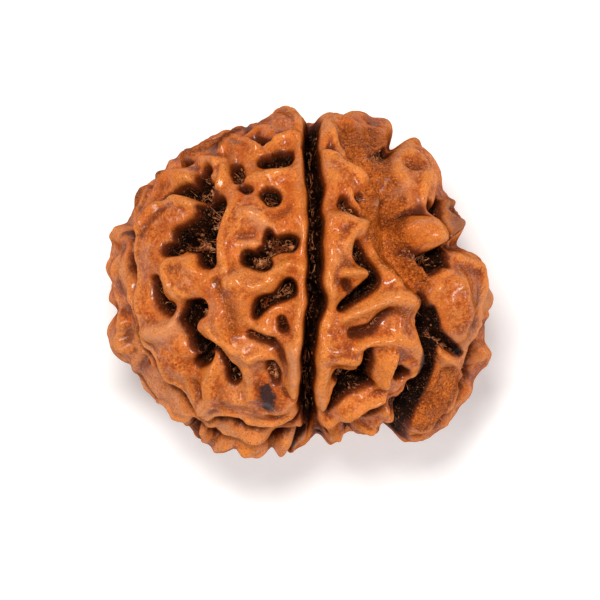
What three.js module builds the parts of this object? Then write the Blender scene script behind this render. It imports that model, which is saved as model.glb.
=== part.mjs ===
// A rudraksha seed lying on its side: one hard stone with seven grooves from pole to pole, its
// facets raised in rounded ridges round deep pits. Millimetres, +Z up, resting on a small worn spot.
import * as THREE from "three";
import { SimplifyModifier } from "three/addons/modifiers/SimplifyModifier.js";
import { mergeVertices } from "three/addons/utils/BufferGeometryUtils.js";

const { degToRad, clamp, lerp } = THREE.MathUtils;

// Driving sizes in millimetres.
const EQUATOR_R = 11.95; // middle of the seed to the facets' crests
const POLE_R = 11.0; // middle of the seed to its ends, before they dip
const POLE_DIP = 1.1;
const SEED_R = 11.5; // mean radius, which turns angles into lengths along the surface
const REST_DROP = 11.3; // middle of the seed down to the worn spot
const DEEPEST_CUT = 3.4;
const GROOVE_HALF = 0.42;
const FRONT_GROOVE_DEPTH = 3.1;
const RIGHT_GROOVE_DEPTH = 2.8;
const LEFT_GROOVE_DEPTH = 2.2;
const LIMB_GROOVE_DEPTH = 1.7;
const BACK_GROOVE_DEPTH = 2.4;
const GROOVE_LIP = { drop: 0.45, reach: 0.75 };
const PIT_LIP = { drop: 0.55, reach: 0.9 };
const NO_LIP = { drop: 0, reach: 1 };
const CUT_WALL = { outer: 0.12, inner: 0.1 }; // how gently an edge turns over, out and in
const VALLEY_WALL = { outer: 0.3, inner: 0.4 };
const SETTLED = 0.3; // how far the carved surface lies below the uncut one, less towards the rim
const TRACED_DEPTH = 1.0; // the traced edge of a pit is where it is this deep
const CUT_REACH = 1.8; // beyond this a cut no longer lowers the surface
const KEEP_REACH = 1.5;
const SWELL = 0.13; // height of the broad unevenness
const SWELL_LENGTH = 3.4;
const RIPPLE = 0.055; // and of the finer one
const RIPPLE_LENGTH = 1.6;
const WANDER = 0.05; // how far edges stray from their smooth course
const WANDER_LENGTH = 2.2;

// How the seed lies: its own axis is rolled a little and its lower end is tipped up to the viewer.
const TILT = degToRad(20);
const ROLL = degToRad(4.5);
const POLE_DIP_SPREAD = 0.045; // in terms of one minus the cosine of the angle from the pole
const RIM_HALF_ANGLE = degToRad(17); // how far the traced rim's shape is felt up and down
const RIM_SLACK = 0.25; // how far what lies above and below the rim may stand out past it
const RIM_HOLD = 60; // how sharply the rim holds back what stands out past it

// Longitudes of the grooves round the seed's own axis in degrees, from the one facing the viewer.
const FRONT_LONGITUDE = 4.5;
const RIGHT_LONGITUDE = 42;
const LIMB_LONGITUDE = 85;
const BACK_LONGITUDES = [150, 205];
const LOWER_LONGITUDE = 250;
const LEFT_LONGITUDE = 301;
const GROOVE_LONGITUDES = [
  FRONT_LONGITUDE,
  RIGHT_LONGITUDE,
  LIMB_LONGITUDE,
  ...BACK_LONGITUDES,
  LOWER_LONGITUDE,
  LEFT_LONGITUDE,
];
const GROOVE_STEP = 9; // degrees of latitude between the points of an untraced groove
const GROOVE_WOBBLE = 2.2; // degrees

// Pits and warts of the untraced side, drawn by rule.
const HIDDEN_SEED = 20773;
const HIDDEN_SPACING = 19; // degrees round the seed
const HIDDEN_LATITUDE = 62;
const HIDDEN_ROW = 14;
const HIDDEN_TOP = 0.12; // highest and lowest sine of elevation that they reach
const HIDDEN_RIM = -0.16; // above this they are small, to keep the traced outline
const HIDDEN_BOTTOM = -0.93;
const HIDDEN_HALF = [0.34, 0.66];
const HIDDEN_DEPTH = [1.1, 2.3];
const HIDDEN_LENGTH = [0, 1.6];
const HIDDEN_LIFT = [0.2, 0.5];
const RIM_PIT_SCALE = 0.6;

// Traced points are in view units, seen from straight above: 16 to a millimetre, x to the right,
// y down, with the seed's middle at VIEW_CENTRE. A third number is a half width in view units.
const VIEW_SCALE = 16;
const VIEW_CENTRE = { x: 300, y: 282 };

const RIM = [
  [304, 113.5], [300, 109], [293, 107.5], [285, 109.5], [275.5, 113.5], [269, 122.5], [261.5, 125.5],
  [244, 120.5], [232.5, 126.5], [219, 136.5], [200.5, 141], [189, 144.5], [176.5, 147.5], [174, 157],
  [167.5, 166.5], [156.5, 177.5], [139.5, 181.5], [134, 199], [134, 211.5], [127, 223], [111, 226.5],
  [107.5, 235.5], [111, 244], [109, 255], [106, 266], [108.5, 280], [104, 292.5], [101, 300.5],
  [110, 311], [105.5, 320], [104, 329.5], [108, 339.5], [111, 352], [119, 362.5], [138, 366.5],
  [145.5, 376.5], [151.5, 390], [155.5, 399.5], [162.5, 409], [176, 426.5], [183.5, 438.5],
  [191.5, 448.5], [211, 442], [221, 456.5], [230, 454], [240, 456], [253.5, 456.5], [263, 454],
  [271, 447.5], [281, 465.5], [288.5, 463], [297, 447.5], [306, 442.5], [315.5, 428], [321.5, 431.5],
  [332.5, 447.5], [339, 441.5], [349, 430], [357.5, 438], [368.5, 436.5], [382.5, 438], [381.5, 421],
  [389, 427.5], [405.5, 448.5], [415, 445.5], [429, 439.5], [439, 434.5], [452.5, 425.5],
  [458.5, 415.5], [463, 407.5], [470.5, 398], [476, 381], [482.5, 372], [490.5, 362], [495, 355.5],
  [493.5, 350.5], [487, 342.5], [482.5, 322.5], [490.5, 315], [493, 303], [493, 293], [493, 281],
  [485, 271], [480, 263], [475, 254], [471, 251], [454.5, 246], [457.5, 237], [461.5, 228.5],
  [455.5, 220], [449, 210.5], [449.5, 199.5], [444.5, 191.5], [443.5, 178], [441.5, 168.5],
  [436.5, 156.5], [431.5, 145.5], [422.5, 138.5], [413, 135.5], [407, 137], [401, 141.5], [396, 144.5],
  [392, 142.5], [395.5, 133.5], [397, 125], [392, 120], [380.5, 117.5], [366.5, 112.5], [350, 111],
  [335, 114], [324.5, 116.5], [317.5, 118.5], [313.5, 119.5],
];
const FRONT_GROOVE = [
  [315, 117, 5], [312, 126, 5], [311, 138, 5], [313, 162, 5.5], [316, 202, 5], [316, 229, 6],
  [315, 256, 5.2], [314, 282, 5.2], [316, 297, 6.5], [316, 310, 7.5], [312, 324, 6], [309, 350, 5.3],
  [308, 377, 5.5], [307, 391, 6.5], [307, 404, 7.5], [308, 418, 7], [314, 432, 5], [317, 445, 5],
];
const LEFT_GROOVE = [
  [246, 126, 5], [231, 131, 5], [218, 139, 6], [199, 149, 5], [184, 157, 5.5], [169, 163, 4],
  [157, 174, 3], [150, 183, 3], [143, 194, 4], [137, 207, 4], [132, 218, 5], [128, 232, 7],
  [126, 250, 8], [126, 264, 7], [130, 280, 6], [131, 298, 6], [135, 314, 6], [136, 325, 6],
  [133, 336, 6], [135, 346, 6], [143, 354, 6], [151, 358, 6], [155, 365, 6], [159, 373, 7],
  [161, 382, 7], [169, 388, 7], [179, 394, 7], [184, 403, 7], [191, 412, 6], [199, 419, 5],
  [206, 423, 4.5], [215, 423, 4], [221, 420, 5], [228, 419, 6], [233, 423, 5], [240, 429, 4.5],
  [252, 432, 4], [262, 432, 4], [270, 430, 4], [280, 429, 4], [288, 427, 4], [294, 422, 5],
  [306, 419, 5],
];
const LOWER_GROOVE = [
  [193, 427, 3], [206, 434, 3], [222, 440, 3.5], [238, 441, 3.5], [255, 445, 3], [270, 443, 3.5],
  [285, 438, 4], [300, 435, 4], [312, 429, 4],
];
const RIGHT_GROOVE = [
  [443, 191, 4], [446, 207, 5], [449, 226, 4], [448, 243, 5], [438, 261, 9], [434, 275, -1],
  [430, 289, -2], [428, 302, 4], [430, 316, 10.5], [432, 330, 12.5], [432, 345, 10], [432, 360, 8],
  [430, 372, 10], [425, 384, 12], [418, 396, 13], [413, 408, 11], [409, 420, 8], [405, 431, 6],
  [399, 441, 4],
];
const LIMB_GROOVE = [
  [484, 262, 3], [489, 285, 3], [488, 305, 3], [485, 322, 3], [481, 338, 3], [478, 355, 4],
  [474, 372, 3], [471, 388, 3], [467, 402, 3], [456, 419, 3], [438, 433, 3], [418, 442, 2],
];

// Soft hollows: [depth in mm, path].
const VALLEYS = {
  right_hollow: [2.2, [
    [356, 158, 3], [372, 168, 8], [388, 180, 12], [395, 198, 14], [394, 216, 14], [394, 236, 14],
    [402, 256, 13], [413, 273, 10], [424, 288, 8],
  ]],
  hollow_left: [1.5, [[374, 186, 5], [382, 205, 9], [383, 222, 9], [380, 238, 8], [386, 252, 9]]],
  fan_gap: [1.5, [[388, 153, 3], [393, 144, 4], [396, 136, 4.5], [400, 127, 5]]],
  far_gap: [1.8, [[452, 245, 3], [460, 242, 5], [468, 240, 4]]],
  basin_mid: [0.7, [[216, 281, 5], [226, 297, 8], [232, 318, 10], [236, 336, 7]]],
  basin_low: [0.6, [[186, 378, 4], [195, 388, 5]]],
  basin_foot: [0.5, [[232, 402, 6], [250, 413, 8], [274, 418, 6], [294, 414, 5]]],
  basin_right: [0.7, [[403, 315, 6], [411, 330, 7]]],
  basin_shelf: [0.4, [[386, 352, 6], [404, 360, 6]]],
  basin_lip: [0.45, [[330, 320, 5], [334, 330, 6]]],
  fan: [1.4, [[350, 119, 7], [352, 129, 13], [357, 142, 14], [365, 156, 14]]],
  lip_step: [0.7, [[330, 200, 8], [347, 204, 10], [362, 200, 8]]],
  lower_face: [0.9, [[447, 371, 8], [441, 385, 10], [431, 398, 10], [420, 411, 9]]],
  left_foot: [0.3, [[127, 240, 6], [124, 270, 5], [125, 300, 5], [128, 330, 5], [131, 348, 6]]],
  low_foot: [0.5, [[150, 366, 7], [160, 385, 7], [176, 401, 7], [190, 417, 5]]],
  low_foot_b: [0.7, [[224, 423, 5], [234, 429, 4], [252, 435, 3]]],
  low_foot_c: [0.45, [[199, 433, 4], [212, 440, 4], [228, 443, 5], [246, 445, 3]]],
  dome_back: [0.6, [[186, 157, 4], [166, 166, 4], [152, 180, 4], [146, 196, 4], [140, 210, 4]]],
  spur_base: [1.2, [[366, 187, 3.5], [368, 199, 6], [366, 211, 5]]],
  fan_side: [1.4, [[377, 124, 8], [377, 134, 13], [378, 147, 15], [379, 162, 15]]],
  lower_rim: [0.45, [[466, 386, 6], [456, 400, 7], [444, 413, 7], [430, 424, 6]]],
};

// Deep pits with old pulp in them: [depth in mm, path].
const PITS = {
  kidney: [2.2, [[282, 153, 11], [276, 159, 8], [264, 156, 7]]],
  under_arch: [1.3, [[254, 134, 5], [261, 137, 7], [268, 139, 5]]],
  oval: [1.8, [[233, 161, 5.5], [235, 168, 7], [237, 175, 6]]],
  bean: [1.4, [[239, 185, 4], [246, 188, 5.5]]],
  round: [2.2, [[264, 191, 4.5], [270, 195, 9]]],
  faint: [0.5, [[280, 211, 3.5]]],
  cave_top: [2.2, [[198, 206, 4], [206, 204, 8], [214, 200, 8]]],
  cave_right: [2.9, [[214, 206, 9], [209, 222, 10], [204, 240, 11], [206, 258, 9]]],
  cave_mid: [2.5, [[176, 231, 7], [188, 225, 9], [199, 216, 9], [208, 207, 8]]],
  cave_left: [2.9, [[172, 234, 7], [184, 239, 10], [196, 242, 11]]],
  cave_corner: [2.6, [[162, 248, 6], [175, 247, 9]]],
  cave_trough: [2.2, [[160, 199, 4], [170, 195, 8], [182, 190, 9], [196, 188, 8], [206, 190, 7]]],
  horn_hole: [2.1, [[207, 168, 5], [200, 174, 8], [200, 183, 9], [210, 190, 7]]],
  side_slot: [1.9, [[152, 282, 6], [153, 294, 8.5], [158, 304, 8.5], [163, 312, 5]]],
  side_slot_toe: [1.3, [[160, 304, 4], [168, 307, 4.5]]],
  hook: [2.6, [
    [198, 308, 9], [188, 311, 10], [184, 322, 9], [186, 334, 8], [194, 346, 11], [201, 356, 10],
    [193, 368, 5],
  ]],
  hook_tail: [2.1, [
    [203, 347, 6], [214, 349, 5], [221, 355, 3.5], [226, 366, 4], [232, 377, 8.5], [232, 385, 5],
  ]],
  star_left: [2.1, [[246, 257, 9.5], [256, 260, 9], [265, 264, 7]]],
  star_right: [2.1, [[262, 251, 8], [275, 246, 7], [290, 241, 9]]],
  star_top: [1.8, [[270, 244, 6], [267, 235, 6]]],
  sling: [2.2, [[288, 289, 9.5], [277, 298, 5], [268, 302, 6], [259, 307, 7], [254, 315, 4]]],
  slit: [1.4, [[281, 321, 4], [284, 330, 5]]],
  brow: [1.4, [[250, 337, 4.5], [261, 341, 4.5], [273, 344, 5]]],
  brow_tail: [0.9, [[276, 346, 3.5], [282, 354, 4], [285, 363, 3.5]]],
  drop: [1.1, [[271, 364, 5], [273, 375, 7.5], [274, 385, 5]]],
  stain: [0.3, [[264, 391, 6], [268, 400, 8], [268, 406, 5]]],
  lip_hole: [0.9, [[331, 141, 4]]],
  lip_pit: [1.6, [[345, 197, 4.5], [346, 205, 6], [356, 210, 5]]],
  lip_pit_side: [1.4, [[357, 197, 3.5], [364, 191, 4]]],
  fan_notch: [1.7, [[376, 147, 4], [384, 145, 7], [392, 144, 6]]],
  behind_knob: [2.0, [[436, 202, 5], [441, 208, 7.5], [446, 215, 5]]],
  inner_pit: [1.9, [[359, 244, 4], [359, 253, 6], [364, 262, 5]]],
  tick: [2.5, [
    [368, 263, 4], [375, 270, 5], [379, 279, 7], [369, 288, 6.5], [356, 298, 6], [344, 308, 4.5],
  ]],
  tick_side: [1.1, [[346, 281, 4.5], [350, 289, 4]]],
  brush: [1.1, [[354, 334, 5.5], [364, 332, 6], [374, 328, 5.5], [384, 318, 5], [390, 312, 4]]],
  den_top: [2.0, [[370, 352, 4.5], [370, 364, 6], [368, 377, 7]]],
  den_left: [2.7, [[341, 380, 6], [350, 384, 9], [366, 383, 9]]],
  den_low: [2.7, [[327, 415, 3], [334, 404, 5.5], [343, 395, 9], [356, 391, 8], [372, 388, 6]]],
  groove_corner: [2.9, [[425, 314, 7], [433, 326, 8.5], [436, 340, 6]]],
  cheek_pit: [1.8, [[401, 370, 6], [404, 376, 8]]],
  groove_notch: [2.1, [[438, 331, 5], [447, 343, 4.5], [459, 355, 4]]],
  low_hollow: [0.9, [[291, 438, 5], [283, 443, 4]]],
  chin_corner: [1.2, [[398, 404, 4], [396, 416, 3]]],
  chin_crease: [1.7, [[336, 430, 3], [356, 424, 4], [372, 417, 4], [386, 407, 4]]],
  knob_gap: [1.2, [[349, 431, 2], [350, 436, 2]]],
  knob_gap_b: [0.9, [[382, 424, 2], [384, 430, 2]]],
  band_gap: [0.5, [[119, 243, 3], [124, 238, 3], [130, 235, 3]]],
  band_gap_b: [0.5, [[117, 292, 3], [121, 300, 3]]],
  band_gap_c: [0.6, [[122, 314, 3], [125, 322, 3], [126, 334, 2.5]]],
  band_gap_d: [0.4, [[138, 360, 3]]],
  third_gap: [0.4, [[236, 442, 2.5]]],
  third_gap_b: [0.5, [[275, 442, 3]]],
  under_knob: [2.4, [[428, 258, 5.5], [440, 258, 8], [450, 260, 6.5]]],
  lobe_dent: [0.15, [[417, 162, 5]]],
  lobe_dent_low: [0.6, [[420, 200, 3], [425, 204, 3]]],
  knob_foot: [1.0, [[410, 248, 4], [423, 254, 5]]],
  knob_top: [0.9, [[405, 215, 3], [416, 209, 4], [428, 207, 4]]],
  band_eye: [0.8, [[120, 231, 4]]],
};

// Clean cuts with sharp edges, at the feet of lobes: [depth in mm, path].
const STEPS = {
  lobe_cliff: [0.6, [[347, 150, 3], [358, 158, 4], [368, 168, 4], [372, 178, 3.5]]],
  lip_cliff: [0.7, [[334, 120, 2], [340, 130, 3], [345, 141, 3]]],
  lobe_end: [0.9, [[375, 225, 4], [368, 238, 4], [362, 243, 4]]],
  bar_end: [0.9, [[424, 292, 3], [425, 303, 3]]],
  shelf_end: [0.8, [[412, 316, 4], [418, 328, 4]]],
  star_step: [0.6, [[240, 236, 3], [252, 233, 3]]],
  tongue_step: [0.9, [
    [281, 345, 2.5], [285, 356, 3], [285, 372, 3], [283, 386, 3], [288, 397, 3], [296, 401, 2.5],
  ]],
  knuckle_step: [0.7, [[412, 384, 3], [402, 393, 3]]],
};

// What stands in or over a cut.
const KEEPS = {
  peninsula: [[223, 166, 3], [218, 180, 3], [209, 193, 2]],
  fin: [[350, 190, 1.5], [354, 198, 2], [361, 206, 1.5]],
  inner_tongue: [[344, 273, 5], [357, 273, 4.5], [366, 274, 4]],
  lip_tongue: [[325, 345, 5], [325, 365, 9], [323, 385, 8], [322, 400, 6.5], [322, 410, 4.5]],
  den_tongue: [[389, 350, 7], [387, 366, 8], [383, 384, 6.5]],
  den_sill: [[328, 422, 5], [342, 418, 7], [358, 410, 8], [372, 404, 7], [382, 401, 5]],
  groove_tongue: [[458, 367, 5], [449, 363, 6.5], [442, 360, 4]],
  knob: [[408, 229, 6], [417, 229, 11], [427, 230, 15], [434, 232, 16]],
  left_tongue: [[292, 345, 6], [293, 362, 6.5], [293, 380, 6.5], [293, 393, 4.5]],
};

// Rounded crests: [height in mm, path].
const RIDGES = {
  arch: [0.55, [[223, 151, 4], [228, 142, 4.5], [236, 138, 4.5], [246, 139, 4.5], [255, 145, 4]]],
  arch_behind: [0.35, [[246, 132, 4], [255, 128, 4], [264, 127, 4], [272, 131, 4]]],
  arch_right: [0.45, [[268, 143, 4], [276, 138, 5], [288, 136, 5], [297, 137, 5]]],
  peak: [0.35, [[286, 108, 4], [295, 112, 5], [301, 122, 4]]],
  horn: [0.6, [[201, 161, 5], [208, 161, 6], [216, 162, 5]]],
  horn_wall: [0.3, [[222, 160, 4], [221, 172, 3]]],
  dome: [0.8, [[167, 181, 9], [176, 177, 11], [186, 177, 9]]],
  strip: [0.35, [[134, 212, 3], [139, 195, 3], [147, 183, 3], [160, 171, 3], [172, 163, 3]]],
  cave_arch: [0.7, [
    [142, 229, 5], [151, 216, 5], [160, 205, 6], [171, 199, 7], [182, 199, 7], [194, 204, 6],
  ]],
  cave_sill: [0.45, [[165, 262, 5], [176, 259, 5], [188, 263, 5], [198, 272, 5]]],
  cave_step: [0.3, [[176, 262, 5]]],
  sill_leg: [0.35, [[163, 268, 5], [167, 278, 4], [170, 288, 4]]],
  crest: [0.35, [
    [139, 234, 5], [137, 250, 4], [134, 268, 4], [137, 283, 4], [138, 299, 4], [142, 314, 4],
    [141, 326, 4], [140, 338, 5], [146, 348, 5], [157, 355, 4], [163, 362, 4], [167, 374, 4],
    [172, 381, 4], [184, 388, 4], [190, 399, 4], [198, 409, 4], [206, 417, 5], [215, 416, 4],
    [226, 411, 4], [234, 415, 4], [243, 423, 4], [253, 426, 4], [266, 424, 4], [280, 422, 4],
    [293, 419, 4],
  ]],
  shine: [0.35, [[244, 214, 6], [258, 221, 6], [272, 231, 5], [282, 239, 4]]],
  star_brow: [0.3, [[238, 245, 5], [250, 241, 5], [260, 243, 4]]],
  slot_rim: [0.35, [[166, 276, 4], [168, 288, 5], [174, 299, 5]]],
  hook_brow: [0.35, [[176, 291, 6], [182, 298, 5]]],
  left_lobe: [0.5, [[143, 334, 6], [156, 333, 8], [168, 328, 7], [175, 319, 5]]],
  mid_ridge: [0.45, [[212, 364, 5], [211, 378, 7], [208, 394, 8], [205, 409, 8]]],
  mid_left: [0.35, [[184, 376, 5], [190, 388, 6], [196, 399, 5]]],
  second: [0.4, [
    [134, 356, 4], [138, 373, 4], [147, 388, 4], [157, 400, 4], [168, 408, 4], [178, 418, 4],
    [188, 425, 3], [199, 427, 3], [211, 431, 3], [222, 435, 3], [234, 438, 3], [253, 439, 3],
    [271, 440, 3], [286, 436, 3], [300, 429, 3],
  ]],
  third_a: [0.3, [[203, 438, 4], [213, 444, 4], [223, 449, 5]]],
  third_b: [0.35, [[245, 452, 5], [256, 454, 6], [265, 450, 4]]],
  third_c: [0.3, [[280, 451, 5], [292, 448, 4], [304, 440, 4]]],
  left_tongue: [0.4, [[297, 330, 5], [297, 346, 6], [296, 362, 6], [294, 378, 6], [293, 392, 5]]],
  drop_brow: [0.3, [[250, 358, 5], [262, 354, 5], [274, 361, 5], [281, 373, 4], [284, 387, 4]]],
  low_lump: [0.3, [[236, 402, 8], [247, 412, 8]]],
  low_lump_b: [0.25, [[262, 416, 7], [277, 412, 7]]],
  band: [0.35, [[126, 244, 4], [123, 258, 5], [123, 272, 4], [125, 288, 4], [124, 302, 3]]],
  band_top: [0.4, [[121, 229, 6], [116, 237, 5]]],
  band_mid: [0.3, [[113, 262, 5], [113, 275, 4]]],
  band_low: [0.45, [[118, 326, 5], [117, 340, 7], [124, 352, 5]]],
  cave_edge: [0.3, [[229, 205, 3], [221, 222, 4], [218, 238, 4], [221, 256, 4], [226, 268, 4]]],
  over_round: [0.3, [[244, 176, 4], [258, 177, 5], [274, 176, 5], [288, 172, 4]]],
  groove_edge: [0.2, [[299, 150, 4], [301, 200, 4], [302, 250, 4], [301, 300, 4], [296, 325, 4]]],
  under_star: [0.3, [[266, 275, 5], [278, 270, 6], [291, 262, 5]]],
  over_sling: [0.3, [[256, 290, 5], [270, 283, 5]]],
  plate_lump: [0.3, [[228, 284, 6], [240, 276, 6]]],
  cave_corner: [0.3, [[214, 272, 5], [205, 282, 5], [197, 291, 4]]],
  hook_edge: [0.3, [[206, 330, 4], [213, 337, 4], [224, 343, 4], [232, 352, 4]]],
  brow_ridge: [0.3, [[256, 326, 5], [268, 333, 5]]],
  low_ridge: [0.3, [[246, 372, 5], [249, 386, 5], [252, 398, 4]]],
  lip: [0.45, [[322, 119, 4], [330, 126, 4], [338, 136, 4], [345, 150, 4]]],
  upper_lobe: [0.5, [[328, 151, 6], [340, 158, 7], [352, 168, 7], [362, 176, 6]]],
  spur: [0.8, [[382, 190, 3], [381, 201, 4.5], [377, 213, 5.5]]],
  lip_lobe: [0.5, [[334, 220, 6], [348, 219, 7], [364, 221, 5], [356, 233, 6], [347, 247, 7]]],
  lip_low: [0.25, [[329, 242, 8], [329, 262, 8], [330, 285, 8], [334, 305, 6]]],
  inner_tongue: [0.3, [[346, 273, 5], [357, 273, 5], [366, 274, 4]]],
  slope: [0.5, [[372, 253, 5], [384, 258, 5], [395, 267, 6], [402, 278, 6]]],
  bar: [0.6, [[347, 318, 5], [365, 311, 7], [380, 303, 8], [395, 298, 9], [412, 299, 8]]],
  shelf: [0.4, [
    [356, 347, 4], [376, 341, 6], [394, 338, 7], [408, 341, 7], [418, 352, 6], [423, 361, 6],
  ]],
  stub: [0.45, [[342, 362, 7], [355, 363, 7]]],
  den_tongue: [0.3, [[392, 356, 5], [388, 368, 5], [384, 384, 4]]],
  knuckle: [0.35, [[421, 362, 6], [414, 376, 6]]],
  den_sill: [0.45, [[328, 421, 5], [342, 414, 6], [358, 406, 7], [372, 401, 6], [384, 399, 4]]],
  chin_a: [0.5, [[333, 440, 5], [340, 437, 5]]],
  chin_b: [0.45, [[358, 430, 5], [372, 430, 5]]],
  chin_c: [0.3, [[389, 414, 5]]],
  top_lobe: [0.6, [[406, 152, 9], [415, 158, 12], [423, 168, 13], [426, 181, 12], [424, 195, 9]]],
  knob: [0.75, [[406, 228, 7], [416, 229, 12], [427, 230, 15]]],
  far_lobe: [0.45, [[449, 200, 4], [456, 212, 5], [459, 226, 6], [454, 238, 4]]],
  bulge: [0.5, [[458, 284, 13], [463, 300, 14], [464, 318, 13], [462, 334, 10]]],
  right_crest: [0.4, [[462, 258, 6], [474, 267, 6], [481, 290, 6], [480, 312, 6], [475, 338, 6]]],
  right_inner: [0.2, [[447, 272, 6], [459, 272, 6], [466, 283, 6]]],
  lower_crest: [0.3, [[454, 385, 4], [446, 395, 4], [434, 406, 4], [421, 418, 4], [409, 434, 4]]],
  side_knob: [0.45, [[484, 352, 5], [483, 362, 5]]],
  groove_tongue: [0.4, [[450, 361, 5], [443, 359, 4]]],
};

// The mesh: an icosahedron's faces split this often, then thinned out where the seed is smooth.
const MESH_DETAIL = 100;
const ROUNDING_PASSES = 2;
const KEPT_VERTICES = 5800;

const axis = new THREE.Vector3(
  -Math.sin(ROLL) * Math.cos(TILT),
  Math.cos(ROLL) * Math.cos(TILT),
  -Math.sin(TILT),
);
const front = new THREE.Vector3(0, 0, 1).addScaledVector(axis, -axis.z).normalize();
const side = new THREE.Vector3().crossVectors(axis, front);

// Smooth noise of about unit size: plane waves in evenly spread directions, added up.
function makeNoise(lengthMm, seed) {
  const count = 14;
  const goldenAngle = 2.399963;
  const frequency = (2 * Math.PI * SEED_R) / lengthMm;
  const waves = [];
  for (let k = 0; k < count; k++) {
    const z = 1 - (2 * k + 1) / count;
    const ring = Math.sqrt(1 - z * z);
    const turn = goldenAngle * k + seed;
    const way = new THREE.Vector3(ring * Math.cos(turn), ring * Math.sin(turn), z);
    waves.push({ way: way.multiplyScalar(frequency), phase: 4.1 * seed + 1.7 * k * k });
  }
  const gain = Math.sqrt(2 / count);
  return (d) => gain * waves.reduce((sum, { way, phase }) => sum + Math.sin(d.dot(way) + phase), 0);
}

const swell = makeNoise(SWELL_LENGTH, 1.3);
const ripple = makeNoise(RIPPLE_LENGTH, 5.2);
const wander = [3.1, 4.1, 5.1].map((seed) => makeNoise(WANDER_LENGTH, seed));

// The traced rim as radius against angle round the view, closed on itself.
const rim = RIM.map(([px, py]) => {
  const x = (px - VIEW_CENTRE.x) / VIEW_SCALE;
  const y = (VIEW_CENTRE.y - py) / VIEW_SCALE;
  return { angle: Math.atan2(y, x), radius: Math.hypot(x, y) };
}).sort((a, b) => a.angle - b.angle);
const turned = (p, turns) => ({ angle: p.angle + turns * 2 * Math.PI, radius: p.radius });
const closedRim = [
  ...rim.slice(-2).map((p) => turned(p, -1)),
  ...rim,
  ...rim.slice(0, 2).map((p) => turned(p, 1)),
];

function rimRise(k) {
  const [a, b] = [closedRim[k], closedRim[k + 1]];
  return (b.radius - a.radius) / (b.angle - a.angle);
}

// Slope of the rim curve at a point: none at a peak or notch, so the curve never overshoots.
function rimSlope(k) {
  const before = rimRise(k - 1);
  const after = rimRise(k);
  return before * after <= 0 ? 0 : (2 * before * after) / (before + after);
}

function rimRadius(angle) {
  let k = 1;
  while (k < closedRim.length - 3 && closedRim[k + 1].angle <= angle) k++;
  const [a, b] = [closedRim[k], closedRim[k + 1]];
  const h = b.angle - a.angle;
  const t = (angle - a.angle) / h;
  const t2 = t * t;
  const t3 = t2 * t;
  return (
    (2 * t3 - 3 * t2 + 1) * a.radius +
    (t3 - 2 * t2 + t) * h * rimSlope(k) +
    (3 * t2 - 2 * t3) * b.radius +
    (t3 - t2) * h * rimSlope(k + 1)
  );
}

// Radius of the uncut seed: a flattened ball with dipped ends, whose rim follows the traced one.
// The rim's crest sways up and down, so that its notches don't run straight down the side.
function envelope(d) {
  const s = d.dot(axis);
  const ball = 1 / Math.sqrt((1 - s * s) / EQUATOR_R ** 2 + (s * s) / POLE_R ** 2);
  const r = ball - POLE_DIP * Math.exp(-(1 - Math.abs(s)) / POLE_DIP_SPREAD);
  const angle = Math.atan2(d.y, d.x);
  const height = Math.asin(clamp(d.z, -1, 1));
  const sway = degToRad(3.5 * Math.sin(3 * angle + 1) + 2.5 * Math.sin(8 * angle + 2));
  const near = Math.exp(-(((height - sway) / RIM_HALF_ANGLE) ** 2));
  const rim = rimRadius(angle);
  const banded = lerp(r, rim / Math.cos(sway), near);
  const upright = (rim + RIM_SLACK) / Math.max(Math.cos(height), 0.1);
  return (banded ** -RIM_HOLD + upright ** -RIM_HOLD) ** (-1 / RIM_HOLD);
}

// Direction of the point, a little under the envelope, that is seen at a traced point.
function onSurface([px, py]) {
  const x = (px - VIEW_CENTRE.x) / VIEW_SCALE;
  const y = (VIEW_CENTRE.y - py) / VIEW_SCALE;
  const d = new THREE.Vector3();
  let r = SEED_R;
  for (let step = 0; step < 8; step++) {
    const rise = Math.sqrt(Math.max(r * r - x * x - y * y, 0.04));
    d.set(x, y, rise).normalize();
    r = lerp(r, envelope(d) - SETTLED * d.z, 0.5);
  }
  return d;
}

// Direction at a longitude and latitude in degrees about the seed's own axis.
function bodyDirection(lon, lat) {
  const a = degToRad(lon);
  const b = degToRad(lat);
  return new THREE.Vector3()
    .addScaledVector(side, Math.cos(b) * Math.sin(a))
    .addScaledVector(front, Math.cos(b) * Math.cos(a))
    .addScaledVector(axis, Math.sin(b));
}

// A stroke is a chain of directions with half widths in millimetres.
function makeStroke(points) {
  const mid = points.reduce((sum, p) => sum.add(p.dir), new THREE.Vector3()).normalize();
  const spread = Math.max(...points.map((p) => p.dir.distanceTo(mid)));
  const widest = Math.max(...points.map((p) => p.half));
  return { points, mid, spread, widest };
}

// Puts a point halfway along each run of a path, on a smooth curve through its points.
function softened(path) {
  const at = (k) => path[clamp(k, 0, path.length - 1)];
  const halfway = (k) =>
    path[k].map((v, m) => (9 * (v + at(k + 1)[m]) - at(k - 1)[m] - at(k + 2)[m]) / 16);
  return path.flatMap((p, k) => (k + 1 < path.length ? [p, halfway(k)] : [p]));
}

const traced = (path) => softened(path).map((p) => ({ dir: onSurface(p), half: p[2] / VIEW_SCALE }));
const tracedStroke = (path) => makeStroke(traced(path));

function meridian(lon, low, high) {
  const steps = Math.round(Math.abs(high - low) / GROOVE_STEP);
  const points = [];
  for (let k = 0; k <= steps; k++) {
    const lat = lerp(low, high, k / Math.max(steps, 1));
    const round = Math.max(Math.cos(degToRad(lat)), 0.3);
    const wobble = (GROOVE_WOBBLE * Math.sin(lat * 0.11 + lon)) / round;
    points.push({ dir: bodyDirection(lon + wobble, lat), half: GROOVE_HALF });
  }
  return points;
}

// True where d is too far from the stroke to feel it.
const isFar = (stroke, d, reachMm) => d.distanceTo(stroke.mid) > stroke.spread + reachMm / SEED_R;

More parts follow.
